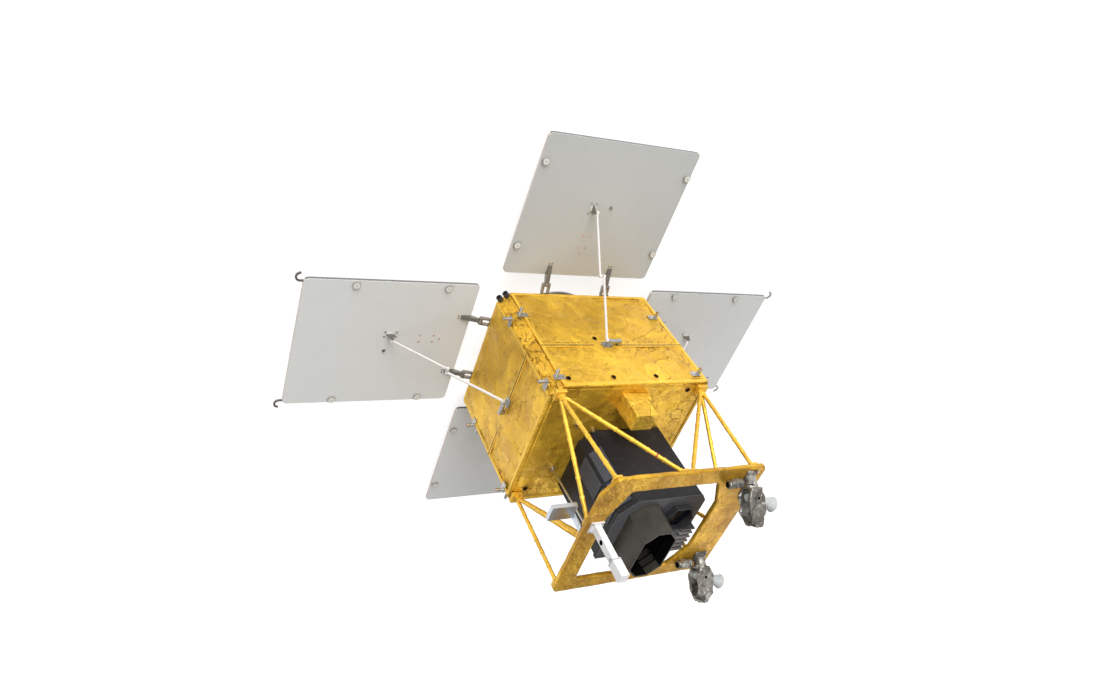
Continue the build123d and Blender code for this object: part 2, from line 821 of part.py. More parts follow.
# Gimbals: a fixed stator on the frame, a yoke turning on it and a horn tilting in the yoke
tilt = radians(gimbal_tilt)
long_axis = Vector(0, -sin(tilt), cos(tilt))
cross_axis = Vector(0, cos(tilt), sin(tilt))
horn_direction = Vector(1, 0, 0) * cos(radians(horn_rest_angle)) + long_axis * sin(
    radians(horn_rest_angle)
)
yoke_start = gimbal_stator_end + gimbal_gap
cheek_start = yoke_start + gimbal_rotor_length
for gimbal_name, along in zip(("upper", "lower"), gimbal_along):
    root = Vector(gimbal_across, along, frame_top)
    with BuildPart() as stator:
        with BuildSketch(Plane.XY.offset(frame_top)):
            with Locations((gimbal_across, along)):
                Rectangle(gimbal_flange, gimbal_flange)
        extrude(amount=gimbal_flange_thickness)
        with BuildSketch(Plane(origin=root, x_dir=(1, 0, 0), z_dir=long_axis)):
            rounded(gimbal_stator_radius, turned_sides)
        extrude(amount=gimbal_stator_end)
        split(bisect_by=Plane.XY.offset(frame_top), keep=Keep.TOP)
        can_start = root + Vector(*gimbal_can_start, gimbal_can_radius)
        with BuildSketch(Plane(origin=can_start, z_dir=(-1, 0, 0))):
            rounded(gimbal_can_radius, turned_sides)
        extrude(amount=gimbal_can_length)
        with Locations(can_start - Vector(gimbal_can_length / 2, 0, gimbal_can_radius / 2)):
            Box(gimbal_can_length / 2, gimbal_can_radius, gimbal_can_radius)
    save(stator.part, f"gimbal_{gimbal_name}_stator")

    pivot = root + long_axis * gimbal_axis_reach
    with BuildPart() as yoke:
        yoke_root = Plane(
            origin=root + long_axis * yoke_start, x_dir=(1, 0, 0), z_dir=long_axis
        )
        with BuildSketch(yoke_root):
            rounded(gimbal_rotor_radius, turned_sides)
        extrude(amount=gimbal_rotor_length)
        with BuildSketch(yoke_root.offset(gimbal_rotor_length)):
            Rectangle(gimbal_cheek_root, 2 * (gimbal_cheek_offset + gimbal_cheek))
        extrude(amount=gimbal_bridge)
        for cheek in (-1, 1):
            cheek_origin = root + cross_axis * (cheek * (gimbal_cheek_offset + gimbal_cheek / 2))
            with BuildSketch(Plane(origin=cheek_origin, x_dir=(1, 0, 0), z_dir=-cross_axis)):
                with BuildLine():
                    Polyline(
                        (-gimbal_cheek_root / 2, cheek_start),
                        (gimbal_cheek_root / 2, cheek_start),
                        (gimbal_cheek_width / 2, gimbal_cheek_shoulders[0]),
                        (gimbal_cheek_width / 2, gimbal_cheek_shoulders[1]),
                        (gimbal_tip_width / 2, gimbal_cheek_end),
                        (-gimbal_tip_width / 2, gimbal_cheek_end),
                        (-gimbal_cheek_width / 2, gimbal_cheek_shoulders[1]),
                        (-gimbal_cheek_width / 2, gimbal_cheek_shoulders[0]),
                        close=True,
                    )
                make_face()
            extrude(amount=gimbal_cheek / 2, both=True)
        tip_plane = Plane(
            origin=root + long_axis * (gimbal_cheek_end - gimbal_tip_block),
            x_dir=(1, 0, 0),
            z_dir=long_axis,
        )
        with BuildSketch(tip_plane):
            Rectangle(gimbal_tip_width, 2 * gimbal_cheek_offset)
        extrude(amount=gimbal_tip_block)
    save(yoke.part, f"gimbal_{gimbal_name}_yoke")

    drum_half = gimbal_cheek_offset - horn_drum_gap
    horn_plane = Plane(origin=pivot, x_dir=horn_direction, z_dir=cross_axis)
    with BuildPart() as horn:
        with BuildSketch(horn_plane):
            rounded(horn_drum_radius, turned_sides)
        extrude(amount=drum_half, both=True)
        neck_plane = Plane(origin=pivot, x_dir=cross_axis, z_dir=horn_direction)
        with BuildSketch(neck_plane):
            rounded(horn_neck_radius, turned_sides)
        extrude(amount=horn_neck_end)
        for start, shrink, mode in ((horn_neck_end, 0, Mode.ADD), (horn_throat, horn_wall, Mode.SUBTRACT)):
            with BuildSketch(neck_plane.offset(start)):
                rounded(horn_neck_radius - shrink, turned_sides)
            with BuildSketch(neck_plane.offset(horn_mouth_end)):
                rounded(horn_mouth_radius - shrink, turned_sides)
            loft(mode=mode)
    save(horn.part, f"gimbal_{gimbal_name}_horn")
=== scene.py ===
"""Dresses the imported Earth-observation satellite and sets it in a plain studio.

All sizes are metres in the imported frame: X across, Y up in the picture, Z from the launch
ring towards the imager. The bodies and their nodes come from the frame alone.
"""

import json
import logging
import math
from dataclasses import dataclass, field
from enum import Enum

import bmesh
import bpy
import numpy as np
from bmesh.types import BMesh, BMVert
from bpy.types import Material, Mesh, Node, NodeSocket, NodeTree, Object
from mathutils import Matrix, Vector

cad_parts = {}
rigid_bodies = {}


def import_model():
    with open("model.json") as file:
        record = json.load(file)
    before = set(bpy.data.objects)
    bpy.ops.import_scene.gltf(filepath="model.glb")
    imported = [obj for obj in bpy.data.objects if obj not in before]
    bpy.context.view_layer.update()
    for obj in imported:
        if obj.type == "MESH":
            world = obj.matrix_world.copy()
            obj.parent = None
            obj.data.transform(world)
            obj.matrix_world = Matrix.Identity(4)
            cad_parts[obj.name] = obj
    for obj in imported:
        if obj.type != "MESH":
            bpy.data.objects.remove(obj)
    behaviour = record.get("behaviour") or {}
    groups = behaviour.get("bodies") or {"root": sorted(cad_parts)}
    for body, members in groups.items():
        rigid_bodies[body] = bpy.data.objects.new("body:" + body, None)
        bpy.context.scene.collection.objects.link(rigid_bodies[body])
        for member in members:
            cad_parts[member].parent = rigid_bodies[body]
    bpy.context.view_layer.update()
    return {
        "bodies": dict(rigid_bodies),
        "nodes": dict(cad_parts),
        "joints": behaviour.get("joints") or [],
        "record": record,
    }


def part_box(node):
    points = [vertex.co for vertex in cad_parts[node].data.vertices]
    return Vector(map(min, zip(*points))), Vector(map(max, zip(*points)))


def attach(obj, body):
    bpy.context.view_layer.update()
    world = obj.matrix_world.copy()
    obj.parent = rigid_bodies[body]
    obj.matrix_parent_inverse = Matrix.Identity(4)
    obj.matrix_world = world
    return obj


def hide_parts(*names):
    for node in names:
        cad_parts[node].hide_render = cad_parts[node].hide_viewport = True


log = logging.getLogger("satellite")

ROOT = "bus"
# Colour of the painted highlight on the gold foil's brightest shards.
GOLD_PAINTED_GLINT = (1.0, 0.76, 0.16)
STRIP_SEED = 5
CORNER_STEPS = 7
CORNER_STEP = 90 / (CORNER_STEPS - 1)
CORNERS = ((-1, -1), (-1, 1), (1, -1), (1, 1))
WHITE = (1.0, 1.0, 1.0)
UP = Vector((0, 0, 1))
CORNER_OUT = Vector((-1, 1, 0)).normalized()
CORNER_ACROSS = Vector((1, 1, 0)).normalized()
Colour = tuple[float, float, float]
Sockets = tuple[NodeSocket, NodeSocket]
Layers = tuple[tuple[float, float], ...]
Places = list[tuple[Vector, Vector]]


class Side(Enum):
    """The four sides of the body, by the direction that each faces."""

    X_PLUS = "x_plus"
    X_MINUS = "x_minus"
    Y_PLUS = "y_plus"
    Y_MINUS = "y_minus"

    @property
    def outward(self) -> Vector:
        """Unit vector that points away from the body on this side."""
        sign = 1.0 if self.value.endswith("plus") else -1.0
        return Vector((sign, 0, 0)) if self.value.startswith("x") else Vector((0, sign, 0))

    @property
    def across(self) -> Vector:
        """Unit vector along this side, square to outwards and to Z."""
        return UP.cross(self.outward)


class Shade(Enum):
    """How a mesh's faces meet in the light."""

    FLAT = "flat"
    SMOOTH = "smooth"


@dataclass
class TreeBench:
    """Adds nodes to a tree.

    Attributes:
        name: Name of the tree or of its material.
    """

    name: str
    tree: NodeTree = field(init=False)

    def feed(self, socket: NodeSocket, value: object) -> None:
        """Links an input, or sets its constant.

        Args:
            socket: The input.
            value: Socket, number, vector or colour.
        """
        if isinstance(value, NodeSocket):
            self.tree.links.new(value, socket)
        elif socket.type == "RGBA":
            socket.default_value = (*value, 1.0)
        else:
            socket.default_value = value

    def node(self, kind: str, settings: dict | None = None, **inputs: object) -> Node:
        """Adds a node.

        Args:
            kind: Blender's type name of the node.
            settings: Attributes of the node to set.
            inputs: Values by socket name, with underscores for spaces.

        Returns:
            The node.
        """
        made = self.tree.nodes.new(kind)
        for key, value in (settings or {}).items():
            setattr(made, key, value)
        for key, value in inputs.items():
            self.feed(made.inputs[key.replace("_", " ")], value)
        return made

    def pair(self, kind: str, operation: str, first: object, second: object) -> Node:
        """Adds a node that works on two values.

        Args:
            kind: Blender's type name of the node.
            operation: Blender's name of the operation.
            first: First value or socket.
            second: Second value or socket.

        Returns:
            The node.
        """
        made = self.node(kind, {"operation": operation})
        self.feed(made.inputs[0], first)
        self.feed(made.inputs[1], second)
        return made

    def math(self, operation: str, first: object, second: object = 0.0) -> NodeSocket:
        """Adds a Math node and returns its result, with the arguments of pair."""
        return self.pair("ShaderNodeMath", operation, first, second).outputs[0]

    def times(self, first: object, second: object) -> NodeSocket:
        """Product of two numbers or sockets."""
        return self.math("MULTIPLY", first, second)

    def spread(
        self,
        value: NodeSocket,
        low: float,
        high: float,
        start: float = 0.0,
        end: float = 1.0,
        kind: str = "LINEAR",
    ) -> NodeSocket:
        """Maps a value from one range to another, clamped.

        Args:
            value: Socket to map.
            low: Input that gives start.
            high: Input that gives end.
            start: Output at low.
            end: Output at high.
            kind: Blender's name of the interpolation.

        Returns:
            The mapped socket.
        """
        ends = {"From_Min": low, "From_Max": high, "To_Min": start, "To_Max": end}
        made = self.node("ShaderNodeMapRange", {"interpolation_type": kind}, Value=value, **ends)
        return made.outputs["Result"]


@dataclass
class ShaderBench(TreeBench):
    """Builds one node material, with Object coordinates at hand."""

    material: Material = field(init=False)
    shader: Node = field(init=False)
    output: Node = field(init=False)
    coordinates: NodeSocket = field(init=False)

    def __post_init__(self) -> None:
        """Makes the empty material with its output, shader and coordinates."""
        self.material = bpy.data.materials.new(self.name)
        self.material.use_nodes = True
        self.tree = self.material.node_tree
        self.tree.nodes.clear()
        self.shader = self.node("ShaderNodeBsdfPrincipled")
        self.output = self.node("ShaderNodeOutputMaterial", Surface=self.shader.outputs[0])
        self.coordinates = self.node("ShaderNodeTexCoord").outputs["Object"]

    def noise(self, scale: float, detail: float = 3.0, roughness: float = 0.55) -> NodeSocket:
        """Noise from 0 to 1 on the Object coordinates.

        Args:
            scale: Features per metre.
            detail: Number of finer layers.
            roughness: Strength of the finer layers.

        Returns:
            The value's socket.
        """
        layers = {"Scale": scale, "Detail": detail, "Roughness": roughness}
        return self.node("ShaderNodeTexNoise", Vector=self.coordinates, **layers).outputs["Fac"]

    def wander(self, scale: float, reach: float) -> NodeSocket:
        """Object coordinates that soft noise moves about.

        Args:
            scale: Features of the noise per metre.
            reach: Farthest move in metres.

        Returns:
            The moved coordinates.
        """
        noise = self.node("ShaderNodeTexNoise", Vector=self.coordinates, Scale=scale, Detail=2.0)
        colour = noise.outputs["Color"]
        shift = self.node("ShaderNodeVectorMath", {"operation": "SCALE"}, Vector=colour, Scale=reach)
        return self.pair("ShaderNodeVectorMath", "ADD", self.coordinates, shift.outputs[0]).outputs[0]

    def facets(self, per_metre: float, spread: float) -> NodeSocket:
        """Height of creased foil: flat facets that meet in sharp ridges and valleys.

        The difference of two squared cell distances is flat inside every cell.

        Args:
            per_metre: Cells per metre.
            spread: Offset between the two cell patterns, in metres.

        Returns:
            The height's socket, about -0.5 to 0.5.
        """
        moved = self.wander(per_metre * 0.4, 0.9 / per_metre)
        squares = []
        for offset in (0.0, spread):
            shift = (offset, offset * 1.7, offset * 0.6)
            placed = self.pair("ShaderNodeVectorMath", "ADD", moved, shift).outputs[0]
            cells = self.node("ShaderNodeTexVoronoi", Vector=placed, Scale=per_metre)
            squares.append(self.math("POWER", cells.outputs["Distance"], 2.0))
        return self.math("SUBTRACT", *squares)

    def shards(self, per_metre: float, warp: float = 0.35) -> Sockets:
        """Angular shards of foil that meet in folds.

        Args:
            per_metre: Shards per metre.
            warp: How far the folds wander, as a share of a shard.

        Returns:
            A random value for each shard, and the distance to the nearest fold.
        """
        moved = self.wander(per_metre * 0.9, warp / per_metre)
        places = {"Vector": moved, "Scale": per_metre}
        cells = self.node("ShaderNodeTexVoronoi", **places)
        edges = self.node("ShaderNodeTexVoronoi", {"feature": "DISTANCE_TO_EDGE"}, **places)
        return cells.outputs["Color"], edges.outputs["Distance"]

    def along(self, axis: tuple[float, float, float]) -> NodeSocket:
        """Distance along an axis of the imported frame."""
        return self.pair("ShaderNodeVectorMath", "DOT_PRODUCT", self.coordinates, axis).outputs["Value"]

    def strain(self, seam: float) -> NodeSocket:
        """Where the body's foil gathers: beside the seam and the upright edges.

        Args:
            seam: Height of the seam in metres.

        Returns:
            The mask's socket, 1 where the foil gathers most.
        """
        off_seam = self.math("ABSOLUTE", self.math("SUBTRACT", self.along((0, 0, 1)), seam))
        at_seam = self.spread(off_seam, 0.012, 0.085, 1.0, 0.0)
        wide = self.spread(self.math("ABSOLUTE", self.along((1, 0, 0))), 0.34, 0.45)
        deep = self.spread(self.math("ABSOLUTE", self.along((0, 1, 0))), 0.28, 0.38)
        return self.math("MAXIMUM", at_seam, self.times(wide, deep))

    def wrinkles(self, scale: float, width: float) -> NodeSocket:
        """Thin wandering creases.

        Args:
            scale: Creases per metre.
            width: Half width of a crease in noise units.

        Returns:
            The creases' socket, 1 in the middle of a crease.
        """
        level = self.math("ABSOLUTE", self.math("SUBTRACT", self.noise(scale, 2.5, 0.5), 0.5))
        return self.spread(level, 0.0, width, 1.0, 0.0)

    def blend(self, factor: object, first: object, second: object, kind: str = "MIX") -> NodeSocket:
        """Mixes two colours.

        Args:
            factor: Number or socket.
            first: Colour or socket at 0.
            second: Colour or socket at 1.
            kind: Blender's blend type.

        Returns:
            The mixed colour's socket.
        """
        made = self.node("ShaderNodeMix", {"data_type": "RGBA", "blend_type": kind})
        for index, value in ((0, factor), (6, first), (7, second)):
            self.feed(made.inputs[index], value)
        return made.outputs[2]

    def bump(self, height: object, distance: float, normal: object | None = None) -> NodeSocket:
        """Adds a bump.

        Args:
            height: Height socket.
            distance: Depth of the bump in metres.
            normal: Normal from a coarser bump.

        Returns:
            The normal's socket.
        """
        made = self.node("ShaderNodeBump", Strength=1.0, Distance=distance, Height=height)
        if normal is not None:
            self.feed(made.inputs["Normal"], normal)
        return made.outputs["Normal"]

    def set(self, **inputs: object) -> Material:
        """Sets the shader's sockets.

        Args:
            inputs: Values by socket name, with underscores for spaces.

        Returns:
            The finished material.
        """
        for key, value in inputs.items():
            self.feed(self.shader.inputs[key.replace("_", " ")], value)
        return self.material


@dataclass(frozen=True)
class FoilFinish:
    """Crinkled metallised film over insulation.

    Attributes:
        name: Material name.
        bright: Colour of the flat facets.
        deep: Colour of the painted shade in the folds, and of the dull patches.
        facet: Size of the fine facets in metres.
        relief: Depth of the fine facets in metres.
        gloss: Roughness of the smoothest patches.
        metal: Metallic share.
        fold: Strength of the painted shade along the fold lines.
        patch: Strength of the dull patches.
        shard: How much the shards between the folds differ in tone.
        painted_glint: Colour of the painted highlight on the brightest shards.
        seam: Height of the seam beside which the foil gathers, or 0 for none.
        dark: Colour of the painted shade inside the gathered creases.
    """

    name: str
    bright: Colour
    deep: Colour
    facet: float = 0.030
    relief: float = 0.0022
    gloss: float = 0.24
    metal: float = 1.0
    fold: float = 0.80
    patch: float = 0.42
    shard: float = 0.36
    painted_glint: Colour = GOLD_PAINTED_GLINT
    seam: float = 0.0
    dark: Colour = (0.17, 0.072, 0.007)

    def material(self) -> Material:
        """Builds the node material."""
        bench = ShaderBench(self.name)
        wide, small = 0.30 / self.facet, 0.95 / self.facet
        coarse = bench.facets(1.0 / self.facet, 0.37)
        fine = bench.facets(2.6 / self.facet, 0.53)
        wide_tone, wide_fold = bench.shards(wide)
        small_tone, small_fold = bench.shards(small, 0.5)
        patch = bench.spread(bench.noise(5.5, 4.0), 0.36, 0.66, 0.0, self.patch)
        speck = bench.spread(bench.noise(55.0, 2.0, 0.4), 0.68, 0.73, 0.0, 0.5)
        tone = bench.blend(bench.spread(wide_tone, 0.15, 0.85, 0.0, self.shard), self.bright, self.deep)
        for share in (bench.spread(small_tone, 0.20, 0.80, 0.0, self.shard * 0.7), patch, speck):
            tone = bench.blend(share, tone, self.deep)
        # Painted highlight: the brightest small shards take the glint colour.
        shine = bench.times(bench.spread(small_tone, 0.74, 0.82), self.shard * 0.55)
        tone = bench.blend(shine, tone, self.painted_glint)
        normal = bench.bump(coarse, self.relief)
        normal = bench.bump(fine, self.relief * 0.35, normal)
        # Painted shade: dark lines along the folds, each with a dent in the bump.
        folds = ((wide_fold, wide, 0.016, 0.50), (small_fold, small, 0.040, 0.57))
        for fold, per_metre, width, keep in folds:
            kept = bench.spread(bench.noise(per_metre * 0.8, 3.0), keep, keep + 0.05)
            line = bench.times(bench.spread(fold, 0.0, width, 1.0, 0.0), kept)
            tone = bench.blend(bench.times(line, self.fold), tone, self.deep)
            normal = bench.bump(bench.times(line, -1.0), self.relief * 1.2, normal)
        if self.seam:
            uneven = bench.spread(bench.noise(6.0, 3.0), 0.40, 0.50)
            gathered = bench.times(bench.strain(self.seam), uneven)
            # Painted shade in the creases beside the seam and the upright edges, and a light painted shade
            # over all the gathered foil.
            crease = bench.times(bench.wrinkles(15.0, 0.034), gathered)
            tone = bench.blend(bench.times(crease, 0.80), tone, self.dark)
            tone = bench.blend(bench.times(gathered, 0.14), tone, self.deep)
            normal = bench.bump(bench.times(crease, -1.0), self.relief * 1.5, normal)
        gloss = bench.spread(bench.noise(9.0, 3.0), 0.3, 0.7, self.gloss, self.gloss + 0.14)
        return bench.set(Base_Color=tone, Metallic=self.metal, Roughness=gloss, Normal=normal)


@dataclass(frozen=True)
class ZonedFinish:
    """Painted surface whose zones have their own colours.

    Attributes:
        name: Material name.
        colour: Main colour.
        zones: For each zone, its colour and the axes and limits that bound it.
        rough: Roughness.
        relief: Depth of the soft waves of the surface in metres.
    """

    name: str
    colour: Colour
    zones: tuple[tuple[Colour, tuple[tuple[tuple[float, float, float], float], ...]], ...]
    rough: float = 0.45
    relief: float = 0.0006

    def material(self) -> Material:
        """Builds the node material."""
        bench = ShaderBench(self.name)
        tone = self.colour
        for colour, bounds in self.zones:
            inside = 1.0
            for axis, limit in bounds:
                past = bench.math("GREATER_THAN", bench.along(axis), limit)
                inside = bench.times(inside, past)
            tone = bench.blend(inside, tone, colour)
        scuff = bench.spread(bench.noise(24.0, 6.0, 0.7), 0.50, 0.80, 0.0, 0.30)
        tone = bench.blend(scuff, tone, (0.05, 0.05, 0.055), "SCREEN")
        normal = bench.bump(bench.facets(14.0, 0.31), self.relief)
        normal = bench.bump(bench.noise(420.0, 2.0), 0.00008, normal)
        gloss = bench.spread(bench.noise(18.0, 4.0), 0.3, 0.7, self.rough - 0.07, self.rough + 0.10)
        return bench.set(Base_Color=tone, Roughness=gloss, Normal=normal, Specular_IOR_Level=0.22)


@dataclass(frozen=True)
class PaintFinish:
    """Painted, anodised or moulded surface with fine grain and soft wear.

    Attributes:
        name: Material name.
        colour: Main colour.
        wear: Colour of the wear and the uneven patches.
        rough: Roughness.
        grain: Grains per metre of the fine bump.
        relief: Depth of the bump in metres.
        metal: Metallic share.
        unevenness: Share of wear in the patches.
        shine: Strength of the clear reflection.
    """

    name: str
    colour: Colour
    wear: Colour
    rough: float = 0.5
    grain: float = 900.0
    relief: float = 0.0001
    metal: float = 0.0
    unevenness: float = 0.35
    shine: float = 0.5

    def material(self) -> Material:
        """Builds the node material."""
        bench = ShaderBench(self.name)
        patch = bench.spread(bench.noise(7.0, 5.0, 0.6), 0.42, 0.70, 0.0, self.unevenness)
        scuff = bench.spread(bench.noise(60.0, 6.0, 0.7), 0.60, 0.78, 0.0, self.unevenness)
        tone = bench.blend(patch, self.colour, self.wear)
        tone = bench.blend(scuff, tone, self.wear)
        gloss = bench.spread(bench.noise(30.0, 4.0), 0.3, 0.7, self.rough - 0.06, self.rough + 0.08)
        normal = bench.bump(bench.noise(self.grain, 2.0), self.relief)
        surface = {"Metallic": self.metal, "Specular_IOR_Level": self.shine}
        return bench.set(Base_Color=tone, Roughness=gloss, Normal=normal, **surface)


@dataclass(frozen=True)
class BrushedFinish:
    """Machined metal with streaks along one axis.

    Attributes:
        name: Material name.
        colour: Metal colour.
        dark: Colour of the deeper streaks.
        rough: Roughness.
        streak: Streaks per metre across the brushing.
    """

    name: str
    colour: Colour
    dark: Colour
    rough: float = 0.32
    streak: float = 700.0

    def material(self) -> Material:
        """Builds the node material."""
        bench = ShaderBench(self.name)
        turned = bench.node("ShaderNodeMapping", Vector=bench.coordinates)
        turned.inputs["Scale"].default_value = (1.0, 1.0, 0.06)
        streaks = bench.node(
            "ShaderNodeTexNoise", Vector=turned.outputs[0], Scale=self.streak, Detail=3.0
        ).outputs["Fac"]
        tone = bench.blend(bench.spread(streaks, 0.45, 0.8, 0.0, 0.6), self.colour, self.dark)
        tone = bench.blend(bench.spread(bench.noise(18.0, 4.0), 0.5, 0.8, 0.0, 0.4), tone, self.dark)
        gloss = bench.spread(streaks, 0.3, 0.7, self.rough - 0.05, self.rough + 0.10)
        normal = bench.bump(streaks, 0.00005)
        return bench.set(Base_Color=tone, Metallic=1.0, Roughness=gloss, Normal=normal)


@dataclass(frozen=True)
class HornFinish:
    """Thin translucent white plastic.

    Attributes:
        name: Material name.
        colour: Colour of the plastic.
    """

    name: str
    colour: Colour

    def material(self) -> Material:
        """Builds the node material."""
        bench = ShaderBench(self.name)
        haze = bench.spread(bench.noise(40.0, 4.0), 0.4, 0.7, 0.0, 0.25)
        tone = bench.blend(haze, self.colour, (0.34, 0.35, 0.36))
        normal = bench.bump(bench.noise(500.0, 2.0), 0.00005)
        return bench.set(
            Base_Color=tone, Roughness=0.28, Normal=normal, Subsurface_Weight=0.25, Subsurface_Scale=0.006
        )


GOLD = (1.0, 0.62, 0.055)
GOLD_DEEP = (0.36, 0.160, 0.008)
SILVER = (0.62, 0.595, 0.54)
SILVER_DEEP = (0.045, 0.038, 0.028)
# Colour of the painted highlight on the silver foil's brightest shards.
SILVER_PAINTED_GLINT = (0.80, 0.78, 0.72)
SEAM_Z = 0.648
GOLD_FOIL = FoilFinish(
    "gold_foil", GOLD, GOLD_DEEP, 0.040, 0.0020, 0.34, 0.64, 0.85, 0.34, 0.32, GOLD_PAINTED_GLINT, SEAM_Z
)
BOX_FOIL = FoilFinish("box_foil", (1.0, 0.67, 0.075), GOLD_DEEP, 0.030, 0.0020, 0.36, 0.60, 0.8, 0.35)
FRAME_FOIL = FoilFinish(
    "frame_foil", (0.84, 0.49, 0.040), (0.30, 0.125, 0.006), 0.024, 0.0012, 0.34, 0.68, 0.6, 0.70, 0.30
)
TUBE_FOIL = FoilFinish(
    "tube_foil", (1.0, 0.62, 0.065), GOLD_DEEP, 0.016, 0.0004, 0.34, 0.58, 0.5, 0.40, 0.22
)
TAPE = FoilFinish("edge_tape", (1.0, 0.63, 0.070), GOLD_DEEP, 0.016, 0.0004, 0.32, 0.58, 0.3, 0.20, 0.15)
# Painted shadow: dark foil laid in the seam between the blankets; the handling holes' rims use it too.
SEAM = FoilFinish("seam_shadow", (0.17, 0.080, 0.010), (0.07, 0.035, 0.006), 0.016, 0.0004, 0.45, 0.3)
SILVER_FOIL = FoilFinish(
    "silver_foil", SILVER, SILVER_DEEP, 0.018, 0.0013, 0.32, 0.62, 0.9, 0.75, 0.85, SILVER_PAINTED_GLINT
)
REAR_FOIL = FoilFinish("rear_deck_foil", (0.98, 0.60, 0.055), GOLD_DEEP, 0.036, 0.0018, 0.36, 0.60)
PETAL_GREY = PaintFinish(
    "petal_grey", (0.605, 0.61, 0.595), (0.54, 0.545, 0.53), 0.50, 650.0, 0.00008, 0.0, 0.25
)
# Painted shade: a darker copy of the petal grey, for the +Y petal.
PETAL_PAINTED_SHADE = PaintFinish(
    "petal_shade", (0.455, 0.465, 0.455), (0.40, 0.41, 0.40), 0.50, 650.0, 0.00008, 0.0, 0.25
)
PETAL_EDGE = PaintFinish("petal_edge", (0.72, 0.61, 0.54), (0.52, 0.42, 0.36), 0.5)
# Painted shade: dark grey for the petal edges that face +Y.
PETAL_EDGE_PAINTED_SHADE = PaintFinish("petal_edge_dark", (0.150, 0.148, 0.150), (0.10, 0.095, 0.095), 0.5)
PETAL_MARK = PaintFinish("petal_mark", (0.50, 0.34, 0.31), (0.42, 0.26, 0.24), 0.5)
EQUIPMENT_GREY = PaintFinish("equipment_grey", (0.30, 0.31, 0.32), (0.22, 0.22, 0.23))
STRUT_WHITE = PaintFinish("strut_white", (0.70, 0.665, 0.65), (0.50, 0.46, 0.45), 0.38)
SENSOR_BLACK = PaintFinish("sensor_black", (0.022, 0.022, 0.024), (0.05, 0.05, 0.05), 0.36)
# Near-black, darker than paint: the hole shadows and the mast's hole use it as painted shade, the hood's
# liner in part.
HOLE_BLACK = PaintFinish(
    "hole_black", (0.003, 0.003, 0.003), (0.005, 0.004, 0.004), 0.8, 300.0, 0.0001, 0.0, 0.3, 0.02
)
GLASS_BLACK = PaintFinish(
    "lens_glass", (0.005, 0.006, 0.010), (0.007, 0.007, 0.010), 0.14, 100.0, 0.00001, 0.0, 0.2, 0.06
)
MARK_RED = PaintFinish("mark_red", (0.42, 0.035, 0.02), (0.30, 0.03, 0.02), 0.5)
IMAGER_BLACK = ZonedFinish(
    "imager_black",
    (0.013, 0.013, 0.016),
    (
        # The front face is grey; its zone reaches 2.5 mm down the rims as a painted highlight along the
        # flange edge.
        ((0.085, 0.085, 0.092), (((0, 0, 1), 1.4885),)),
        ((0.062, 0.069, 0.085), (((-1, 0, 0), 0.2006), ((0, 0, -1), -1.462))),
        ((0.062, 0.069, 0.085), (((-1, 1, 0), 0.2158), ((0, 0, -1), -1.462))),
    ),
)
HOOD_BLACK = PaintFinish(
    "hood_black", (0.046, 0.042, 0.033), (0.014, 0.012, 0.009), 0.38, 300.0, 0.0001, 0.0, 0.8, 0.30
)
RADIATOR_GREY = ZonedFinish(
    "radiator_grey",
    (0.24, 0.24, 0.25),
    (((0.030, 0.030, 0.033), (((0, 1, 0), -0.1235),)),),
)
# Painted highlight: grey for the strip along the imager's front flange edge.
FLANGE_HIGHLIGHT = PaintFinish("flange_lip", (0.10, 0.10, 0.11), (0.07, 0.07, 0.07), 0.4)
MAST_WHITE = PaintFinish("mast_white", (0.76, 0.76, 0.755), (0.60, 0.59, 0.58), 0.42)
FITTING_METAL = BrushedFinish("fitting_metal", (0.52, 0.52, 0.52), (0.22, 0.22, 0.22))
HINGE_METAL = BrushedFinish("hinge_metal", (0.33, 0.31, 0.28), (0.15, 0.14, 0.125))
CUP_SHADE = PaintFinish("cup_shade", (0.30, 0.285, 0.26), (0.20, 0.18, 0.16), 0.45)
CUP_LIGHT = PaintFinish("cup_light", (0.66, 0.65, 0.61), (0.50, 0.46, 0.40), 0.45)
RING_METAL = BrushedFinish("ring_metal", (0.56, 0.57, 0.58), (0.30, 0.30, 0.31), 0.28)
FEED_SILVER = BrushedFinish("feed_silver", (0.58, 0.62, 0.68), (0.34, 0.37, 0.42), 0.32)
BOLT_STEEL = BrushedFinish("bolt_steel", (0.60, 0.58, 0.54), (0.25, 0.24, 0.22), 0.25)
CELL_BLUE = PaintFinish(
    "solar_cell", (0.010, 0.018, 0.060), (0.022, 0.016, 0.055), 0.20, 1200.0, 0.00002, 0.0, 0.35, 0.25
)
SUBSTRATE = PaintFinish("cell_substrate", (0.35, 0.22, 0.07), (0.22, 0.13, 0.04), 0.40)
HORN_WHITE = HornFinish("horn_white", (0.47, 0.485, 0.48))
Finish = FoilFinish | PaintFinish | BrushedFinish | HornFinish | ZonedFinish


def add_piece(name: str, mesh: Mesh, material: Material, shade: Shade) -> Object:
    """Links a mesh to the scene as a piece at the origin.

    Args:
        name: Name of the piece.
        mesh: Its mesh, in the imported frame.
        material: Its material.
        shade: Flat or smooth faces.

    Returns:
        The new object.
    """
    mesh.materials.clear()
    mesh.materials.append(material)
    mesh.polygons.foreach_set("use_smooth", [shade is Shade.SMOOTH] * len(mesh.polygons))
    made = bpy.data.objects.new(name, mesh)
    bpy.context.scene.collection.objects.link(made)
    return made


def mesh_from(name: str, build: BMesh, outward: bool = True) -> Mesh:
    """Turns a bmesh into a mesh.

    Args:
        name: Name of the mesh.
        build: The bmesh, which is freed.
        outward: Whether the faces are turned outwards first.

    Returns:
        The mesh.
    """
    if outward:
        bmesh.ops.recalc_face_normals(build, faces=build.faces)
    mesh = bpy.data.meshes.new(name)
    build.to_mesh(mesh)
    build.free()
    return mesh


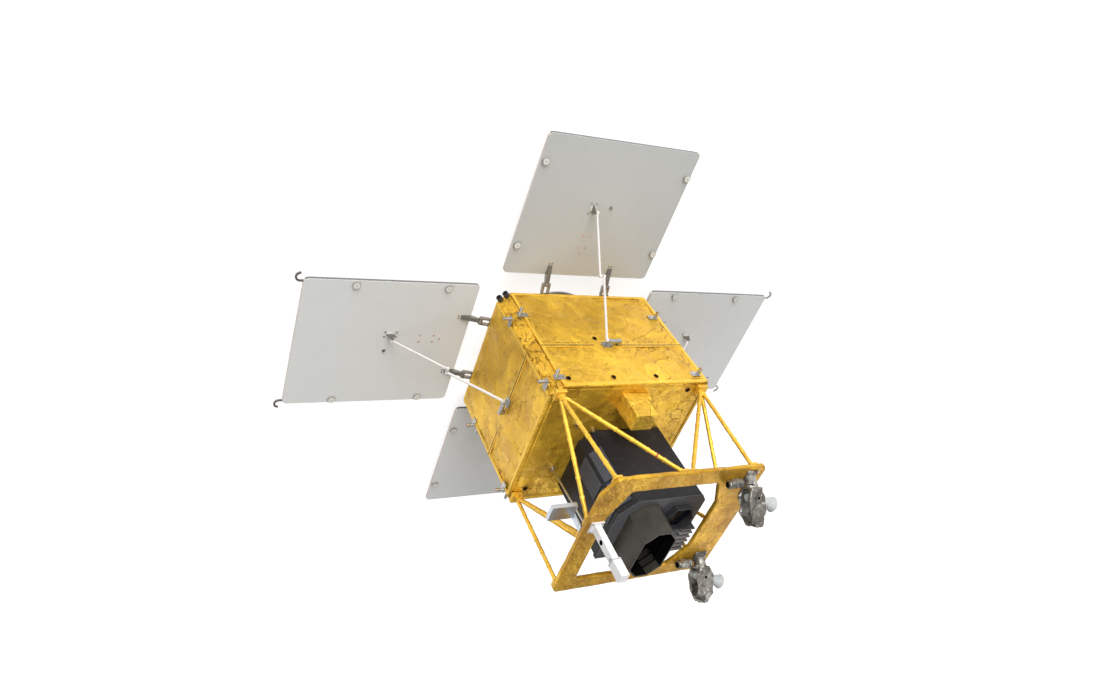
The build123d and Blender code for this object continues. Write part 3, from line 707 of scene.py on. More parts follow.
def skin(
    build: BMesh, outlines: list[list[Vector]], kept: list[int] | None = None, closed: bool = False
) -> list[list[BMVert]]:
    """Joins each outline to the next with faces.

    Args:
        build: The bmesh.
        outlines: Points of each outline.
        kept: Numbers of the stretches that get faces, or None for all.
        closed: Whether the last outline is joined to the first.

    Returns:
        The vertices of each outline.
    """
    rings = [[build.verts.new(point) for point in outline] for outline in outlines]
    stretches = range(len(rings[0])) if kept is None else kept
    for first, second in zip(rings, rings[1:] + rings[: int(closed)]):
        for k in stretches:
            j = (k + 1) % len(first)
            build.faces.new((first[k], second[k], second[j], first[j]))
    return rings


def even_mesh(source: Mesh, voxel: float) -> Mesh:
    """Copies a closed mesh with small even faces.

    Args:
        source: The mesh, which isn't changed.
        voxel: Size of the faces in metres.

    Returns:
        The new mesh.
    """
    build = bmesh.new()
    build.from_mesh(source)
    bmesh.ops.remove_doubles(build, verts=build.verts, dist=2e-5)
    holder = bpy.data.objects.new("holder", mesh_from("holder", build))
    bpy.context.scene.collection.objects.link(holder)
    remesh = holder.modifiers.new("even", "REMESH")
    remesh.mode = "VOXEL"
    remesh.voxel_size = voxel
    return evaluated_mesh(holder)


def evaluated_mesh(holder: Object) -> Mesh:
    """Returns a plain mesh of an object with its modifiers, and removes the object."""
    graph = bpy.context.evaluated_depsgraph_get()
    graph.update()
    mesh = bpy.data.meshes.new_from_object(holder.evaluated_get(graph))
    bpy.data.objects.remove(holder)
    return mesh


def crumple_height(points: np.ndarray, facet: float, seed: int) -> np.ndarray:
    """Height of creased foil at points: flat facets with sharp ridges and valleys.

    Two sets of cell centres are drawn on the surface. The squared distance to the nearest
    centre of one set, less that of the other, is flat between the creases.

    Args:
        points: Points in metres, one in a row.
        facet: Distance between cell centres in metres.
        seed: Seed of the random centres.

    Returns:
        Heights, with a spread of about one.
    """
    random = np.random.default_rng(seed)
    spans = np.sort(np.ptp(points, axis=0))
    total = int(np.clip(2.0 * spans[2] * max(spans[1], facet) / facet**2, 6, 420))
    nearest = []
    for _ in range(2):
        centres = points[random.choice(len(points), total)]
        centres = centres + random.normal(0.0, facet * 0.3, centres.shape)
        best = np.full(len(points), np.inf)
        for centre in centres:
            np.minimum(best, ((points - centre) ** 2).sum(axis=1), out=best)
        nearest.append(best)
    height = nearest[0] - nearest[1]
    return (height - height.mean()) / (height.std() + 1e-12)


def foil_height(points: np.ndarray, layers: Layers, seed: int, calm_edge: float) -> np.ndarray:
    """Height of a foil wrap over points, from all its crumple layers.

    Args:
        points: Points in metres, one in a row.
        layers: Facet size and depth in metres of each crumple layer.
        seed: Seed of the creases.
        calm_edge: Width beside the box's edges where the foil is taped flat.

    Returns:
        Heights in metres.
    """
    height = np.zeros(len(points))
    for layer, (facet, depth) in enumerate(layers):
        height += depth * crumple_height(points, facet, seed * 10 + layer)
    limit = 2.2 * sum(depth for _, depth in layers)
    height = np.clip(height, -limit, limit * 0.6)
    if calm_edge:
        low, high = points.min(axis=0), points.max(axis=0)
        inside = np.sort(np.minimum(points - low, high - points), axis=1)
        height *= np.clip(inside[:, 1] / calm_edge, 0.0, 1.0)
    return height


@dataclass
class NodeBench(TreeBench):
    """Builds one Geometry Nodes tree that repeats a shape.

    Attributes:
        numbers: Default of each named number. The material's input follows them.
    """

    numbers: dict[str, float]
    entry: Node = field(init=False)

    def __post_init__(self) -> None:
        """Makes the tree's sockets and its entry node."""
        self.tree = bpy.data.node_groups.new(self.name, "GeometryNodeTree")
        face = self.tree.interface
        for way in ("INPUT", "OUTPUT"):
            face.new_socket("Geometry", in_out=way, socket_type="NodeSocketGeometry")
        for label, number in self.numbers.items():
            made = face.new_socket(label, in_out="INPUT", socket_type="NodeSocketFloat")
            made.default_value = number
        face.new_socket("Material", in_out="INPUT", socket_type="NodeSocketMaterial")
        self.entry = self.node("NodeGroupInput")

    def given(self, label: str) -> NodeSocket:
        """Socket of a named input."""
        return self.entry.outputs[label]

    def disc(self, sides: int, radius: str, height: str) -> NodeSocket:
        """Adds a cylinder.

        Args:
            sides: Number of its sides.
            radius: Name of the input with its radius.
            height: Name of the input with its height.

        Returns:
            The mesh's socket.
        """
        sizes = {"Radius": self.given(radius), "Depth": self.given(height)}
        return self.node("GeometryNodeMeshCylinder", Vertices=sides, **sizes).outputs[0]

    def join(self, *parts: NodeSocket) -> NodeSocket:
        """Joins meshes into one."""
        both = self.node("GeometryNodeJoinGeometry")
        for part in parts:
            self.feed(both.inputs[0], part)
        return both.outputs[0]

    def close(
        self, shape: NodeSocket, points: NodeSocket | None = None, facing: NodeSocket | None = None
    ) -> NodeTree:
        """Sets a shape on points and ends the tree in Realize Instances and Set Material.

        Args:
            shape: What stands on each point.
            points: The points, or None for those of the input.
            facing: Direction of each point, or None for its attribute.

        Returns:
            The finished tree.
        """
        if points is None:
            points = self.given("Geometry")
            named = self.node("GeometryNodeInputNamedAttribute", {"data_type": "FLOAT_VECTOR"}, Name="facing")
            facing = named.outputs[0]
        turn = self.node("FunctionNodeAlignRotationToVector", {"axis": "Z"}, Vector=facing).outputs[0]
        placed = self.node("GeometryNodeInstanceOnPoints", Points=points, Instance=shape, Rotation=turn)
        real = self.node("GeometryNodeRealizeInstances", Geometry=placed.outputs[0]).outputs[0]
        painted = self.node("GeometryNodeSetMaterial", Geometry=real, Material=self.given("Material"))
        self.feed(self.node("NodeGroupOutput").inputs[0], painted.outputs[0])
        return self.tree


def screw_tree() -> NodeTree:
    """Tree that sets a hexagon screw with its washer on every point, along its facing."""
    sizes = {"Head Radius": 0.005, "Head Height": 0.004, "Washer Radius": 0.009, "Washer Height": 0.0015}
    bench = NodeBench("screw_heads", sizes)
    head = bench.disc(6, "Head Radius", "Head Height")
    rise = bench.node("ShaderNodeCombineXYZ", Z=bench.times(bench.given("Head Height"), 0.5))
    lifted = bench.node("GeometryNodeTransform", Geometry=head, Translation=rise.outputs[0])
    return bench.close(bench.join(lifted.outputs[0], bench.disc(14, "Washer Radius", "Washer Height")))


def button_tree() -> NodeTree:
    """Tree that sets a low round button on every point, along its facing."""
    bench = NodeBench("round_buttons", {"Radius": 0.01, "Height": 0.002})
    return bench.close(bench.disc(22, "Radius", "Height"))


def band_tree() -> NodeTree:
    """Tree that winds short tape bands round every edge of its mesh, at even spacing."""
    bench = NodeBench("tape_bands", {"Spacing": 0.09, "Radius": 0.012, "Width": 0.014})
    path = bench.node("GeometryNodeMeshToCurve", Mesh=bench.given("Geometry")).outputs[0]
    spacing = bench.given("Spacing")
    evenly = bench.node("GeometryNodeCurveToPoints", {"mode": "LENGTH"}, Curve=path, Length=spacing)
    band = bench.disc(14, "Radius", "Width")
    return bench.close(band, evenly.outputs["Points"], evenly.outputs["Tangent"])


def cell_tree() -> NodeTree:
    """Tree that hangs a solar cell with round corners below every point."""
    bench = NodeBench("solar_cells", {"Cell Length": 0.08, "Cell Width": 0.04, "Cell Height": 0.0006})
    wide = bench.given("Cell Width")
    outline = bench.node(
        "GeometryNodeCurvePrimitiveQuadrilateral",
        {"mode": "RECTANGLE"},
        Width=bench.given("Cell Length"),
        Height=wide,
    ).outputs[0]
    cut = bench.node("GeometryNodeFilletCurve", Curve=outline, Radius=bench.times(wide, 0.16))
    sheet = bench.node("GeometryNodeFillCurve", {"mode": "NGONS"}, Curve=cut.outputs[0]).outputs[0]
    face = bench.node("GeometryNodeFlipFaces", Mesh=sheet).outputs[0]
    walls = bench.node("GeometryNodeExtrudeMesh", Mesh=face, Offset_Scale=bench.given("Cell Height"))
    joined = bench.join(walls.outputs[0], sheet)
    return bench.close(bench.node("GeometryNodeMergeByDistance", Geometry=joined, Distance=1e-5).outputs[0])


def repeated(
    tree: NodeTree, name: str, places: Places, values: dict[str, object], edges: list[tuple[int, int]]
) -> Mesh:
    """Runs a tree on points or paths.

    Args:
        tree: The Geometry Nodes tree.
        name: Name of the mesh.
        places: Point and facing of each place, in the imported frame.
        values: The tree's named inputs.
        edges: Pairs of points that make the paths.

    Returns:
        A plain mesh.
    """
    mesh = bpy.data.meshes.new(name)
    mesh.from_pydata([tuple(point) for point, _ in places], edges, [])
    facing = mesh.attributes.new("facing", "FLOAT_VECTOR", "POINT")
    facing.data.foreach_set("vector", np.array([tuple(aim) for _, aim in places], float).ravel())
    holder = bpy.data.objects.new(name, mesh)
    bpy.context.scene.collection.objects.link(holder)
    modifier = holder.modifiers.new("repeat", "NODES")
    modifier.node_group = tree
    for item in tree.interface.items_tree:
        if item.item_type == "SOCKET" and item.in_out == "INPUT" and item.name in values:
            modifier[item.identifier] = values[item.name]
    made = evaluated_mesh(holder)
    made.name = name
    return made


@dataclass
class PhotoCamera:
    """Camera at the photograph's place.

    Attributes:
        place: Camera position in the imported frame.
        right: Camera's right.
        up: Camera's up.
        forward: Viewing direction.
        focal: Focal length in the photograph's pixels.
        image_width: Width of the photograph in pixels.
        sensor: Sensor width in millimetres.
    """

    place: Vector = field(default_factory=lambda: Vector((-2.541, 2.861, 3.612)))
    right: Vector = field(default_factory=lambda: Vector((0.8684067523, 0.3138928349, 0.3838502322)))
    up: Vector = field(default_factory=lambda: Vector((0.0014625886, 0.7724969022, -0.6350168477)))
    forward: Vector = field(default_factory=lambda: Vector((0.4958503538, -0.5520143333, -0.6703824300)))
    focal: float = 824.786
    image_width: float = 1110.0
    sensor: float = 36.0

    def build(self) -> None:
        """Makes the camera and sets it as the scene's."""
        data = bpy.data.cameras.new("photo_camera")
        data.sensor_width = self.sensor
        data.lens = self.focal * self.sensor / self.image_width
        data.clip_start = 0.05
        data.clip_end = 400.0
        camera = bpy.data.objects.new("photo_camera", data)
        turn = Matrix((self.right, self.up, -self.forward)).transposed()
        camera.matrix_world = Matrix.Translation(self.place) @ turn.to_4x4()
        bpy.context.scene.collection.objects.link(camera)
        bpy.context.scene.camera = camera
        log.info("camera with a lens of %.2f mm", data.lens)


@dataclass
class Studio:
    """White floor, soft lamps and a light grey room.

    Attributes:
        floor_reach: Half the floor's width.
        floor_tone: Colour of the floor.
        floor_glow: What the camera and reflections see the floor glow by.
        lamp_distance: Distance of the lamps from the object.
        sky_low: Level of the room on its dark side.
        sky_high: Level of the room on its bright side.
        bright_side: Direction of the room's bright side.
    """

    floor_reach: float = 60.0
    floor_tone: Colour = (0.55, 0.55, 0.55)
    floor_glow: float = 0.72
    lamp_distance: float = 11.0
    sky_low: float = 0.26
    sky_high: float = 0.90
    bright_side: Vector = field(default_factory=lambda: Vector((0.10, 0.98, 0.05)))

    def build(self) -> None:
        """Makes the floor, the room and the lamps."""
        self.floor()
        self.room()
        for name, aim, size, power in (
            ("key_lamp", Vector((-0.22, 0.95, 0.30)), 6.0, 1060.0),
            ("top_lamp", Vector((-0.60, -0.38, 0.85)), 5.0, 265.0),
            ("fill_lamp", Vector((0.8, -0.6, 0.6)), 5.0, 145.0),
        ):
            self.lamp(name, aim.normalized(), size, power)
        bpy.context.scene.view_settings.view_transform = "Standard"

    def floor(self) -> None:
        """Makes the floor, which shows white and keeps the object's soft shadow."""
        reach = self.floor_reach
        mesh = bpy.data.meshes.new("floor")
        corners = [(-reach, -reach, 0), (reach, -reach, 0), (reach, reach, 0), (-reach, reach, 0)]
        mesh.from_pydata(corners, [], [(0, 1, 2, 3)])
        bench = ShaderBench("floor_white")
        bench.set(Base_Color=self.floor_tone, Roughness=0.9, Specular_IOR_Level=0.0)
        rays = bench.node("ShaderNodeLightPath").outputs
        seen = bench.math("MAXIMUM", rays["Is Camera Ray"], rays["Is Glossy Ray"])
        seen = bench.math("MAXIMUM", seen, rays["Is Transmission Ray"])
        strength = bench.times(seen, self.floor_glow)
        glow = bench.node("ShaderNodeEmission", Color=WHITE, Strength=strength)
        both = bench.node("ShaderNodeAddShader")
        bench.feed(both.inputs[0], bench.shader.outputs[0])
        bench.feed(both.inputs[1], glow.outputs[0])
        bench.feed(bench.output.inputs["Surface"], both.outputs[0])
        add_piece("floor", mesh, bench.material, Shade.FLAT)

    def room(self) -> None:
        """Lights the scene from a room that is brighter on one side; the camera sees it white."""
        world = bpy.data.worlds.new("room")
        bpy.context.scene.world = world
        world.use_nodes = True
        bench = TreeBench("room")
        bench.tree = world.node_tree
        bench.tree.nodes.clear()
        place = bench.node("ShaderNodeTexCoord").outputs["Object"]
        bright = self.bright_side.normalized()
        along = bench.pair("ShaderNodeVectorMath", "DOT_PRODUCT", place, bright).outputs["Value"]
        level = bench.spread(along, -0.5, 0.8, self.sky_low, self.sky_high, "SMOOTHSTEP")
        soft = bench.node("ShaderNodeBackground", Color=WHITE, Strength=level)
        plain = bench.node("ShaderNodeBackground", Color=WHITE)
        mix = bench.node("ShaderNodeMixShader")
        seen = bench.node("ShaderNodeLightPath").outputs["Is Camera Ray"]
        for index, value in enumerate((seen, soft.outputs[0], plain.outputs[0])):
            bench.feed(mix.inputs[index], value)
        bench.node("ShaderNodeOutputWorld", Surface=mix.outputs[0])

    def lamp(self, name: str, aim: Vector, size: float, power: float) -> None:
        """Makes a square soft lamp.

        Args:
            name: Name of the lamp.
            aim: Direction of the lamp from the object.
            size: Width in metres.
            power: Power in watts.
        """
        data = bpy.data.lights.new(name, "AREA")
        data.shape = "SQUARE"
        data.size = size
        data.energy = power
        lamp = bpy.data.objects.new(name, data)
        place = Vector((0, 0, 0.9)) + aim * self.lamp_distance
        lamp.matrix_world = Matrix.Translation(place) @ aim.to_track_quat("Z", "Y").to_matrix().to_4x4()
        bpy.context.scene.collection.objects.link(lamp)


@dataclass(frozen=True)
class Strip:
    """A low ridge or tape that lies on a surface.

    Attributes:
        start: One end, on the surface.
        end: Other end.
        outward: Direction away from the surface.
        width: Width in metres.
        height: Height in metres.
    """

    start: Vector
    end: Vector
    outward: Vector
    width: float
    height: float


def strip_mesh(name: str, strips: list[Strip], pitch: float, uneven: float) -> Mesh:
    """Builds one mesh of all the strips, with slightly uneven edges.

    Args:
        name: Name of the mesh.
        strips: The strips.
        pitch: Distance between cross-sections in metres.
        uneven: Share by which the width and the height vary.

    Returns:
        The mesh.
    """
    random = np.random.default_rng(STRIP_SEED)
    build = bmesh.new()
    for strip in strips:
        along = strip.end - strip.start
        sideways = along.normalized().cross(strip.outward)
        count = max(2, int(along.length / pitch))
        outlines = []
        for i in range(count + 1):
            middle = strip.start + along * (i / count)
            wide, tall = 1.0 + uneven * random.uniform(-1.0, 1.0, 2)
            half, top = strip.width * wide / 2, strip.height * tall
            profile = ((-half, 0.0), (-half * 0.75, top), (half * 0.75, top), (half, 0.0))
            outlines.append([middle + sideways * s + strip.outward * h for s, h in profile])
        rings = skin(build, outlines)
        for ring in (rings[0], rings[-1]):
            build.faces.new(ring)
    return mesh_from(name, build)


@dataclass
class Satellite:
    """What every sub-assembly needs: the frame, the materials and the trees.

    Attributes:
        paints: Material of each finish, by name.
        screws: Tree of the screws.
        bands: Tree of the tape bands.
        cells: Tree of the solar cells.
        buttons: Tree of the round buttons.
        rear: Height of the body's rear edge in metres.
        front: Height of the deck.
        half_width: Half the body's width along X.
        half_depth: Half the body's depth along Y.
    """

    frame: dict
    paints: dict[str, Material] = field(default_factory=dict)
    screws: NodeTree = field(default_factory=screw_tree)
    bands: NodeTree = field(default_factory=band_tree)
    cells: NodeTree = field(default_factory=cell_tree)
    buttons: NodeTree = field(default_factory=button_tree)
    rear: float = 0.170
    front: float = 0.970
    half_width: float = 0.500
    half_depth: float = 0.430

    def paint(self, finish: Finish) -> Material:
        """Returns the material of a finish, built when first asked for."""
        if finish.name not in self.paints:
            self.paints[finish.name] = finish.material()
        return self.paints[finish.name]

    def dress(self, finish: Finish, *names: str) -> None:
        """Gives CAD nodes a finish.

        Args:
            finish: The finish.
            names: Names of the nodes to dress.
        """
        for name in names:
            for place in self.frame["nodes"][name].material_slots:
                place.material = self.paint(finish)
        log.info("%s on %d CAD nodes", finish.name, len(names))

    def point(self, side: Side, outwards: float, across: float, up: float) -> Vector:
        """Point beside a side of the body.

        Args:
            side: Side of the body.
            outwards: Distance from its face.
            across: Distance along the side from its middle.
            up: Height above the body's rear edge.

        Returns:
            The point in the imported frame.
        """
        reach = self.half_width if side.outward.x else self.half_depth
        return side.outward * (reach + outwards) + side.across * across + UP * (self.rear + up)

    def add(
        self, name: str, mesh: Mesh, finish: Finish, slot: str, body: str = ROOT, shade: Shade = Shade.FLAT
    ) -> Object:
        """Adds a piece that rides on a body.

        Args:
            name: Name of the piece.
            mesh: Its mesh.
            finish: Its finish.
            slot: Material slot of the record; not used.
            body: Body that carries it.
            shade: Flat or smooth faces.

        Returns:
            The piece.
        """
        piece = add_piece(name, mesh, self.paint(finish), shade)
        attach(piece, body)
        log.info("%s: %d faces on %s", name, len(mesh.polygons), body)
        return piece

    def wrap(
        self,
        node: str,
        finish: FoilFinish,
        slot: str,
        voxel: float,
        layers: Layers,
        seed: int,
        body: str = ROOT,
        calm_edge: float = 0.0,
    ) -> None:
        """Wraps a CAD node in creased foil, which replaces the node.

        Args:
            node: Name of the CAD node.
            finish: Foil finish.
            slot: Material slot of the record.
            voxel: Mesh pitch in metres.
            layers: Facet size and depth in metres of each crumple layer.
            seed: Seed of the creases.
            body: Body that carries the wrap.
            calm_edge: Width beside the box's edges where the foil is taped flat.
        """
        mesh = even_mesh(self.frame["nodes"][node].data, voxel)
        mesh.vertices.foreach_get("co", flat := np.zeros(len(mesh.vertices) * 3))
        mesh.vertices.foreach_get("normal", normals := np.zeros(len(flat)))
        points = flat.reshape(-1, 3)
        points += normals.reshape(-1, 3) * foil_height(points, layers, seed, calm_edge)[:, None]
        mesh.vertices.foreach_set("co", points.ravel())
        mesh.update()
        piece = self.add(f"{node}_wrap", mesh, finish, slot, body, Shade.SMOOTH)
        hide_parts(node)

    def lay(
        self,
        name: str,
        strips: list[Strip],
        finish: Finish,
        slot: str,
        body: str = ROOT,
        pitch: float = 0.03,
        uneven: float = 0.12,
    ) -> None:
        """Lays strips as one piece.

        Args:
            name: Name of the piece.
            strips: The strips.
            finish: Their finish.
            slot: Material slot of the record.
            body: Body that carries them.
            pitch: Distance between cross-sections in metres.
            uneven: Share by which the width and the height vary.
        """
        self.add(name, strip_mesh(name, strips, pitch, uneven), finish, slot, body)

    def scatter(
        self,
        tree: NodeTree,
        name: str,
        places: Places,
        values: dict[str, object],
        finish: Finish,
        slot: str,
        body: str = ROOT,
        edges: list[tuple[int, int]] | None = None,
    ) -> None:
        """Sets a tree's shape on every place, as one piece.

        Args:
            tree: The Geometry Nodes tree.
            name: Name of the piece.
            places: Point and facing of each place.
            values: The tree's named numbers.
            finish: Finish of the piece.
            slot: Material slot of the record.
            body: Body that carries it.
            edges: Pairs of places that make the paths.
        """
        inputs = values | {"Material": self.paint(finish)}
        self.add(name, repeated(tree, name, places, inputs, edges or []), finish, slot, body)

    def set_screws(self, name: str, places: Places, radius: float, body: str = ROOT) -> None:
        """Sets hexagon screws on washers.

        Args:
            name: Name of the piece.
            places: Point and facing of each screw.
            radius: Radius of the heads.
            body: Body that carries them.
        """
        values = {
            "Head Radius": radius,
            "Head Height": radius * 0.9,
            "Washer Radius": radius * 1.8,
            "Washer Height": radius * 0.4,
        }
        self.scatter(self.screws, name, places, values, BOLT_STEEL, "fitting_metal", body)

    def set_buttons(
        self,
        name: str,
        places: Places,
        radius: float,
        height: float,
        finish: Finish,
        slot: str,
        body: str = ROOT,
    ) -> None:
        """Sets low round buttons.

        Args:
            name: Name of the piece.
            places: Point and facing of each button.
            radius: Radius of a button.
            height: Height above the point, and depth below it.
            finish: Finish of the buttons.
            slot: Material slot of the record.
            body: Body that carries them.
        """
        values = {"Radius": radius, "Height": 2 * height}
        self.scatter(self.buttons, name, places, values, finish, slot, body)


@dataclass
class Assembly:
    """A group of pieces.

    Attributes:
        satellite: The whole object.
    """

    satellite: Satellite


@dataclass
class BodyBlankets(Assembly):
    """The foil blankets round the body and its decks.

    Attributes:
        panel_voxel: Mesh pitch of the large blankets.
        seam_up: Height of the seam between the blankets above the rear edge.
        edge_inset: Distance of the edge tape from the panel's edge.
        cut: Width of the cut corner along each side.
        rib_count: Ribs on the cut corner.
        rib_pitch: Distance between the ribs.
    """

    panel_voxel: float = 0.0075
    seam_up: float = 0.478
    edge_inset: float = 0.014
    cut: float = 0.060
    rib_count: int = 4
    rib_pitch: float = 0.019

    def build(self) -> None:
        """Wraps the panels, the decks and the corner strips."""
        satellite = self.satellite
        big = ((0.19, 0.0030), (0.075, 0.0010))
        rows = [(f"side_panel_{side.value}", GOLD_FOIL, "gold_foil") for side in Side]
        rows += [("payload_deck", GOLD_FOIL, "gold_foil"), ("base_deck", REAR_FOIL, "rear_deck_foil")]
        for seed, (node, finish, slot) in enumerate(rows):
            satellite.wrap(node, finish, slot, self.panel_voxel, big, seed + 3, calm_edge=0.035)
        satellite.wrap("corner_strips", GOLD_FOIL, "gold_foil", 0.006, ((0.06, 0.0006),), 21)
        satellite.wrap("deck_box", BOX_FOIL, "gold_foil", 0.004, ((0.07, 0.0014), (0.03, 0.0004)), 22)
        satellite.dress(EQUIPMENT_GREY, "equipment_block")
        self.seams_and_tape()
        self.ribs()
        self.holes()

    def span(self, side: Side) -> tuple[float, float]:
        """How far a side's flat panel goes, from its lowest to its highest across."""
        low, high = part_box(f"side_panel_{side.value}")
        ends = sorted((side.across.dot(low), side.across.dot(high)))
        return ends[0], ends[1]

    def seams_and_tape(self) -> None:
        """Lays the folded seam between the blankets of each side, with a dark strip between its folds as
        painted shadow, and tape beside its edges.
        """
        folds, shadow_strips, tapes = [], [], []
        for side in Side:
            start, end = self.span(side)
            for strips, lift, width, height in (
                (folds, 0.009, 0.010, 0.0048),
                (folds, -0.010, 0.012, 0.0036),
                # A dark strip between the two folds: painted shadow in the seam.
                (shadow_strips, 0.0, 0.012, 0.0036),
            ):
                up = self.seam_up + lift
                strips.append(self.strip(side, (start + 0.004, up), (end - 0.004, up), width, height))
            low, high = self.edge_inset, self.satellite.front - self.satellite.rear - self.edge_inset
            left, right = start + self.edge_inset, end - self.edge_inset
            for first, last in (
                ((left, low), (right, low)),
                ((left, high), (right, high)),
                ((left, low), (left, high)),
                ((right, low), (right, high)),
            ):
                tapes.append(self.strip(side, first, last, 0.022, 0.0022))
        self.satellite.lay("blanket_seam_folds", folds, TAPE, "gold_foil")
        self.satellite.lay("blanket_seam_shadow_strips", shadow_strips, SEAM, "gold_foil")
        self.satellite.lay("blanket_edge_tape", tapes, TAPE, "gold_foil")

    def strip(
        self, side: Side, start: tuple[float, float], end: tuple[float, float], width: float, height: float
    ) -> Strip:
        """Strip on a side of the body.

        Args:
            side: The side.
            start: Across and up of one end.
            end: Across and up of the other end.
            width: Width in metres.
            height: Height in metres.

        Returns:
            The strip.
        """
        first, last = (self.satellite.point(side, 0.0, *spot) for spot in (start, end))
        return Strip(first, last, side.outward, width, height)

    def ribs(self) -> None:
        """Raises the lengthwise ribs on the cut corner."""
        low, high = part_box("corner_strips")
        middle = Vector((low.x + self.cut / 2, high.y - self.cut / 2, 0))
        strips = []
        for i in range(self.rib_count):
            place = middle + CORNER_ACROSS * ((i - (self.rib_count - 1) / 2) * self.rib_pitch)
            start = place + UP * (self.satellite.rear + 0.045)
            end = place + UP * (self.satellite.front - 0.012)
            strips.append(Strip(start, end, CORNER_OUT, 0.007, 0.0042))
        self.satellite.lay("corner_ribs", strips, GOLD_FOIL, "gold_foil")

    def holes(self) -> None:
        """Lines the handling holes and the deck's holes."""
        satellite = self.satellite
        front = Side.Y_PLUS
        spots = [(0.0012, across, 0.742) for across in (-0.164, 0.113, 0.390)] + [(0.0030, 0.075, 0.420)]
        places = [(satellite.point(front, *spot), front.outward) for spot in spots]
        for x, y in ((0.374, 0.377), (-0.410, -0.333)):
            places.append((Vector((x, y, satellite.front + 0.0012)), UP))
        satellite.set_buttons("hole_rims", places, 0.0145, 0.0026, SEAM, "gold_foil")
        lifted = [(place + facing * 0.0004, facing) for place, facing in places]
        satellite.set_buttons("hole_shadows", lifted, 0.0118, 0.0030, HOLE_BLACK, "sensor_black")
        pegs = [(Vector((x, y, satellite.front)), UP) for x, y in ((-0.265, 0.155), (-0.133, 0.094))]
        satellite.set_buttons("deck_pegs", pegs, 0.011, 0.013, FITTING_METAL, "fitting_metal")


@dataclass(frozen=True)
class LegRow:
    """One corner of the truss.

    Attributes:
        node: CAD node.
        corner: Signs of the corner along X and Y.
        heads: Ends of its three tubes, as shares of the frame's half sizes.
    """

    node: str
    corner: tuple[int, int]
    heads: tuple[tuple[float, float], ...]


@dataclass
class Truss(Assembly):
    """The ring frame and its twelve tubes.

    Attributes:
        rows: The four corners.
        foot_inset: Distance of a foot's middle from the body's sides.
        foot_up: Height of a foot's middle above the deck.
        head_drop: Distance of a tube's end below the frame.
    """

    rows: tuple[LegRow, ...] = (
        LegRow("leg_front_left", (-1, 1), ((-0.84, 0.92), (-0.03, 0.92), (-0.94, 0.23))),
        LegRow("leg_front_right", (1, 1), ((0.87, 0.92), (0.08, 0.9), (0.83, 0.16))),
        LegRow("leg_back_left", (-1, -1), ((-0.94, -0.91), (-0.03, -0.9), (-0.94, 0.0))),
        LegRow("leg_back_right", (1, -1), ((0.87, -0.91), (0.08, -0.9), (0.83, -0.13))),
    )
    foot_inset: float = 0.045
    foot_up: float = 0.013
    head_drop: float = 0.008

    def build(self) -> None:
        """Wraps the frame and the tubes."""
        satellite = self.satellite
        satellite.wrap("truss_frame", FRAME_FOIL, "frame_foil", 0.005, ((0.09, 0.0007), (0.03, 0.0002)), 31)
        for seed, row in enumerate(self.rows):
            satellite.wrap(row.node, TUBE_FOIL, "tube_foil", 0.0038, ((0.035, 0.0004),), 40 + seed)
        self.tape_bands()
        self.frame_screws()

    def ends(self, row: LegRow) -> list[tuple[Vector, Vector]]:
        """Foot and head of each tube of a corner."""
        satellite = self.satellite
        low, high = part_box("truss_frame")
        halves = (satellite.half_width - self.foot_inset, satellite.half_depth - self.foot_inset)
        x, y = (sign * half for sign, half in zip(row.corner, halves))
        foot = Vector((x, y, satellite.front + self.foot_up))
        return [(foot, Vector((a * high.x, b * high.y, low.z - self.head_drop))) for a, b in row.heads]

    def tape_bands(self) -> None:
        """Winds tape round the tubes, and one red mark."""
        satellite = self.satellite
        tubes = [tube for row in self.rows for tube in self.ends(row)]
        for name, marked, shares, spacing, radius, width, finish in (
            ("tube_tape_bands", tubes, (0.07, 0.97), 0.084, 0.0123, 0.012, TAPE),
            ("tube_red_mark", tubes[1:2], (0.785, 0.797), 0.1, 0.0128, 0.008, MARK_RED),
        ):
            places = [(foot.lerp(head, share), UP) for foot, head in marked for share in shares]
            edges = [(2 * i, 2 * i + 1) for i in range(len(marked))]
            values = {"Spacing": spacing, "Radius": radius, "Width": width}
            satellite.scatter(satellite.bands, name, places, values, finish, "tube_foil", edges=edges)

    def frame_screws(self) -> None:
        """Sets the screws of what stands on the frame."""
        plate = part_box("truss_frame")[1].z + 0.008
        places = []
        for x, y, half in ((0.404, 0.352, 0.031), (0.404, -0.290, 0.031), (-0.424, 0.090, 0.028)):
            places += [(Vector((x + i * half, y + j * half, plate)), UP) for i, j in CORNERS]
        self.satellite.set_screws("frame_flange_screws", places, 0.0036)


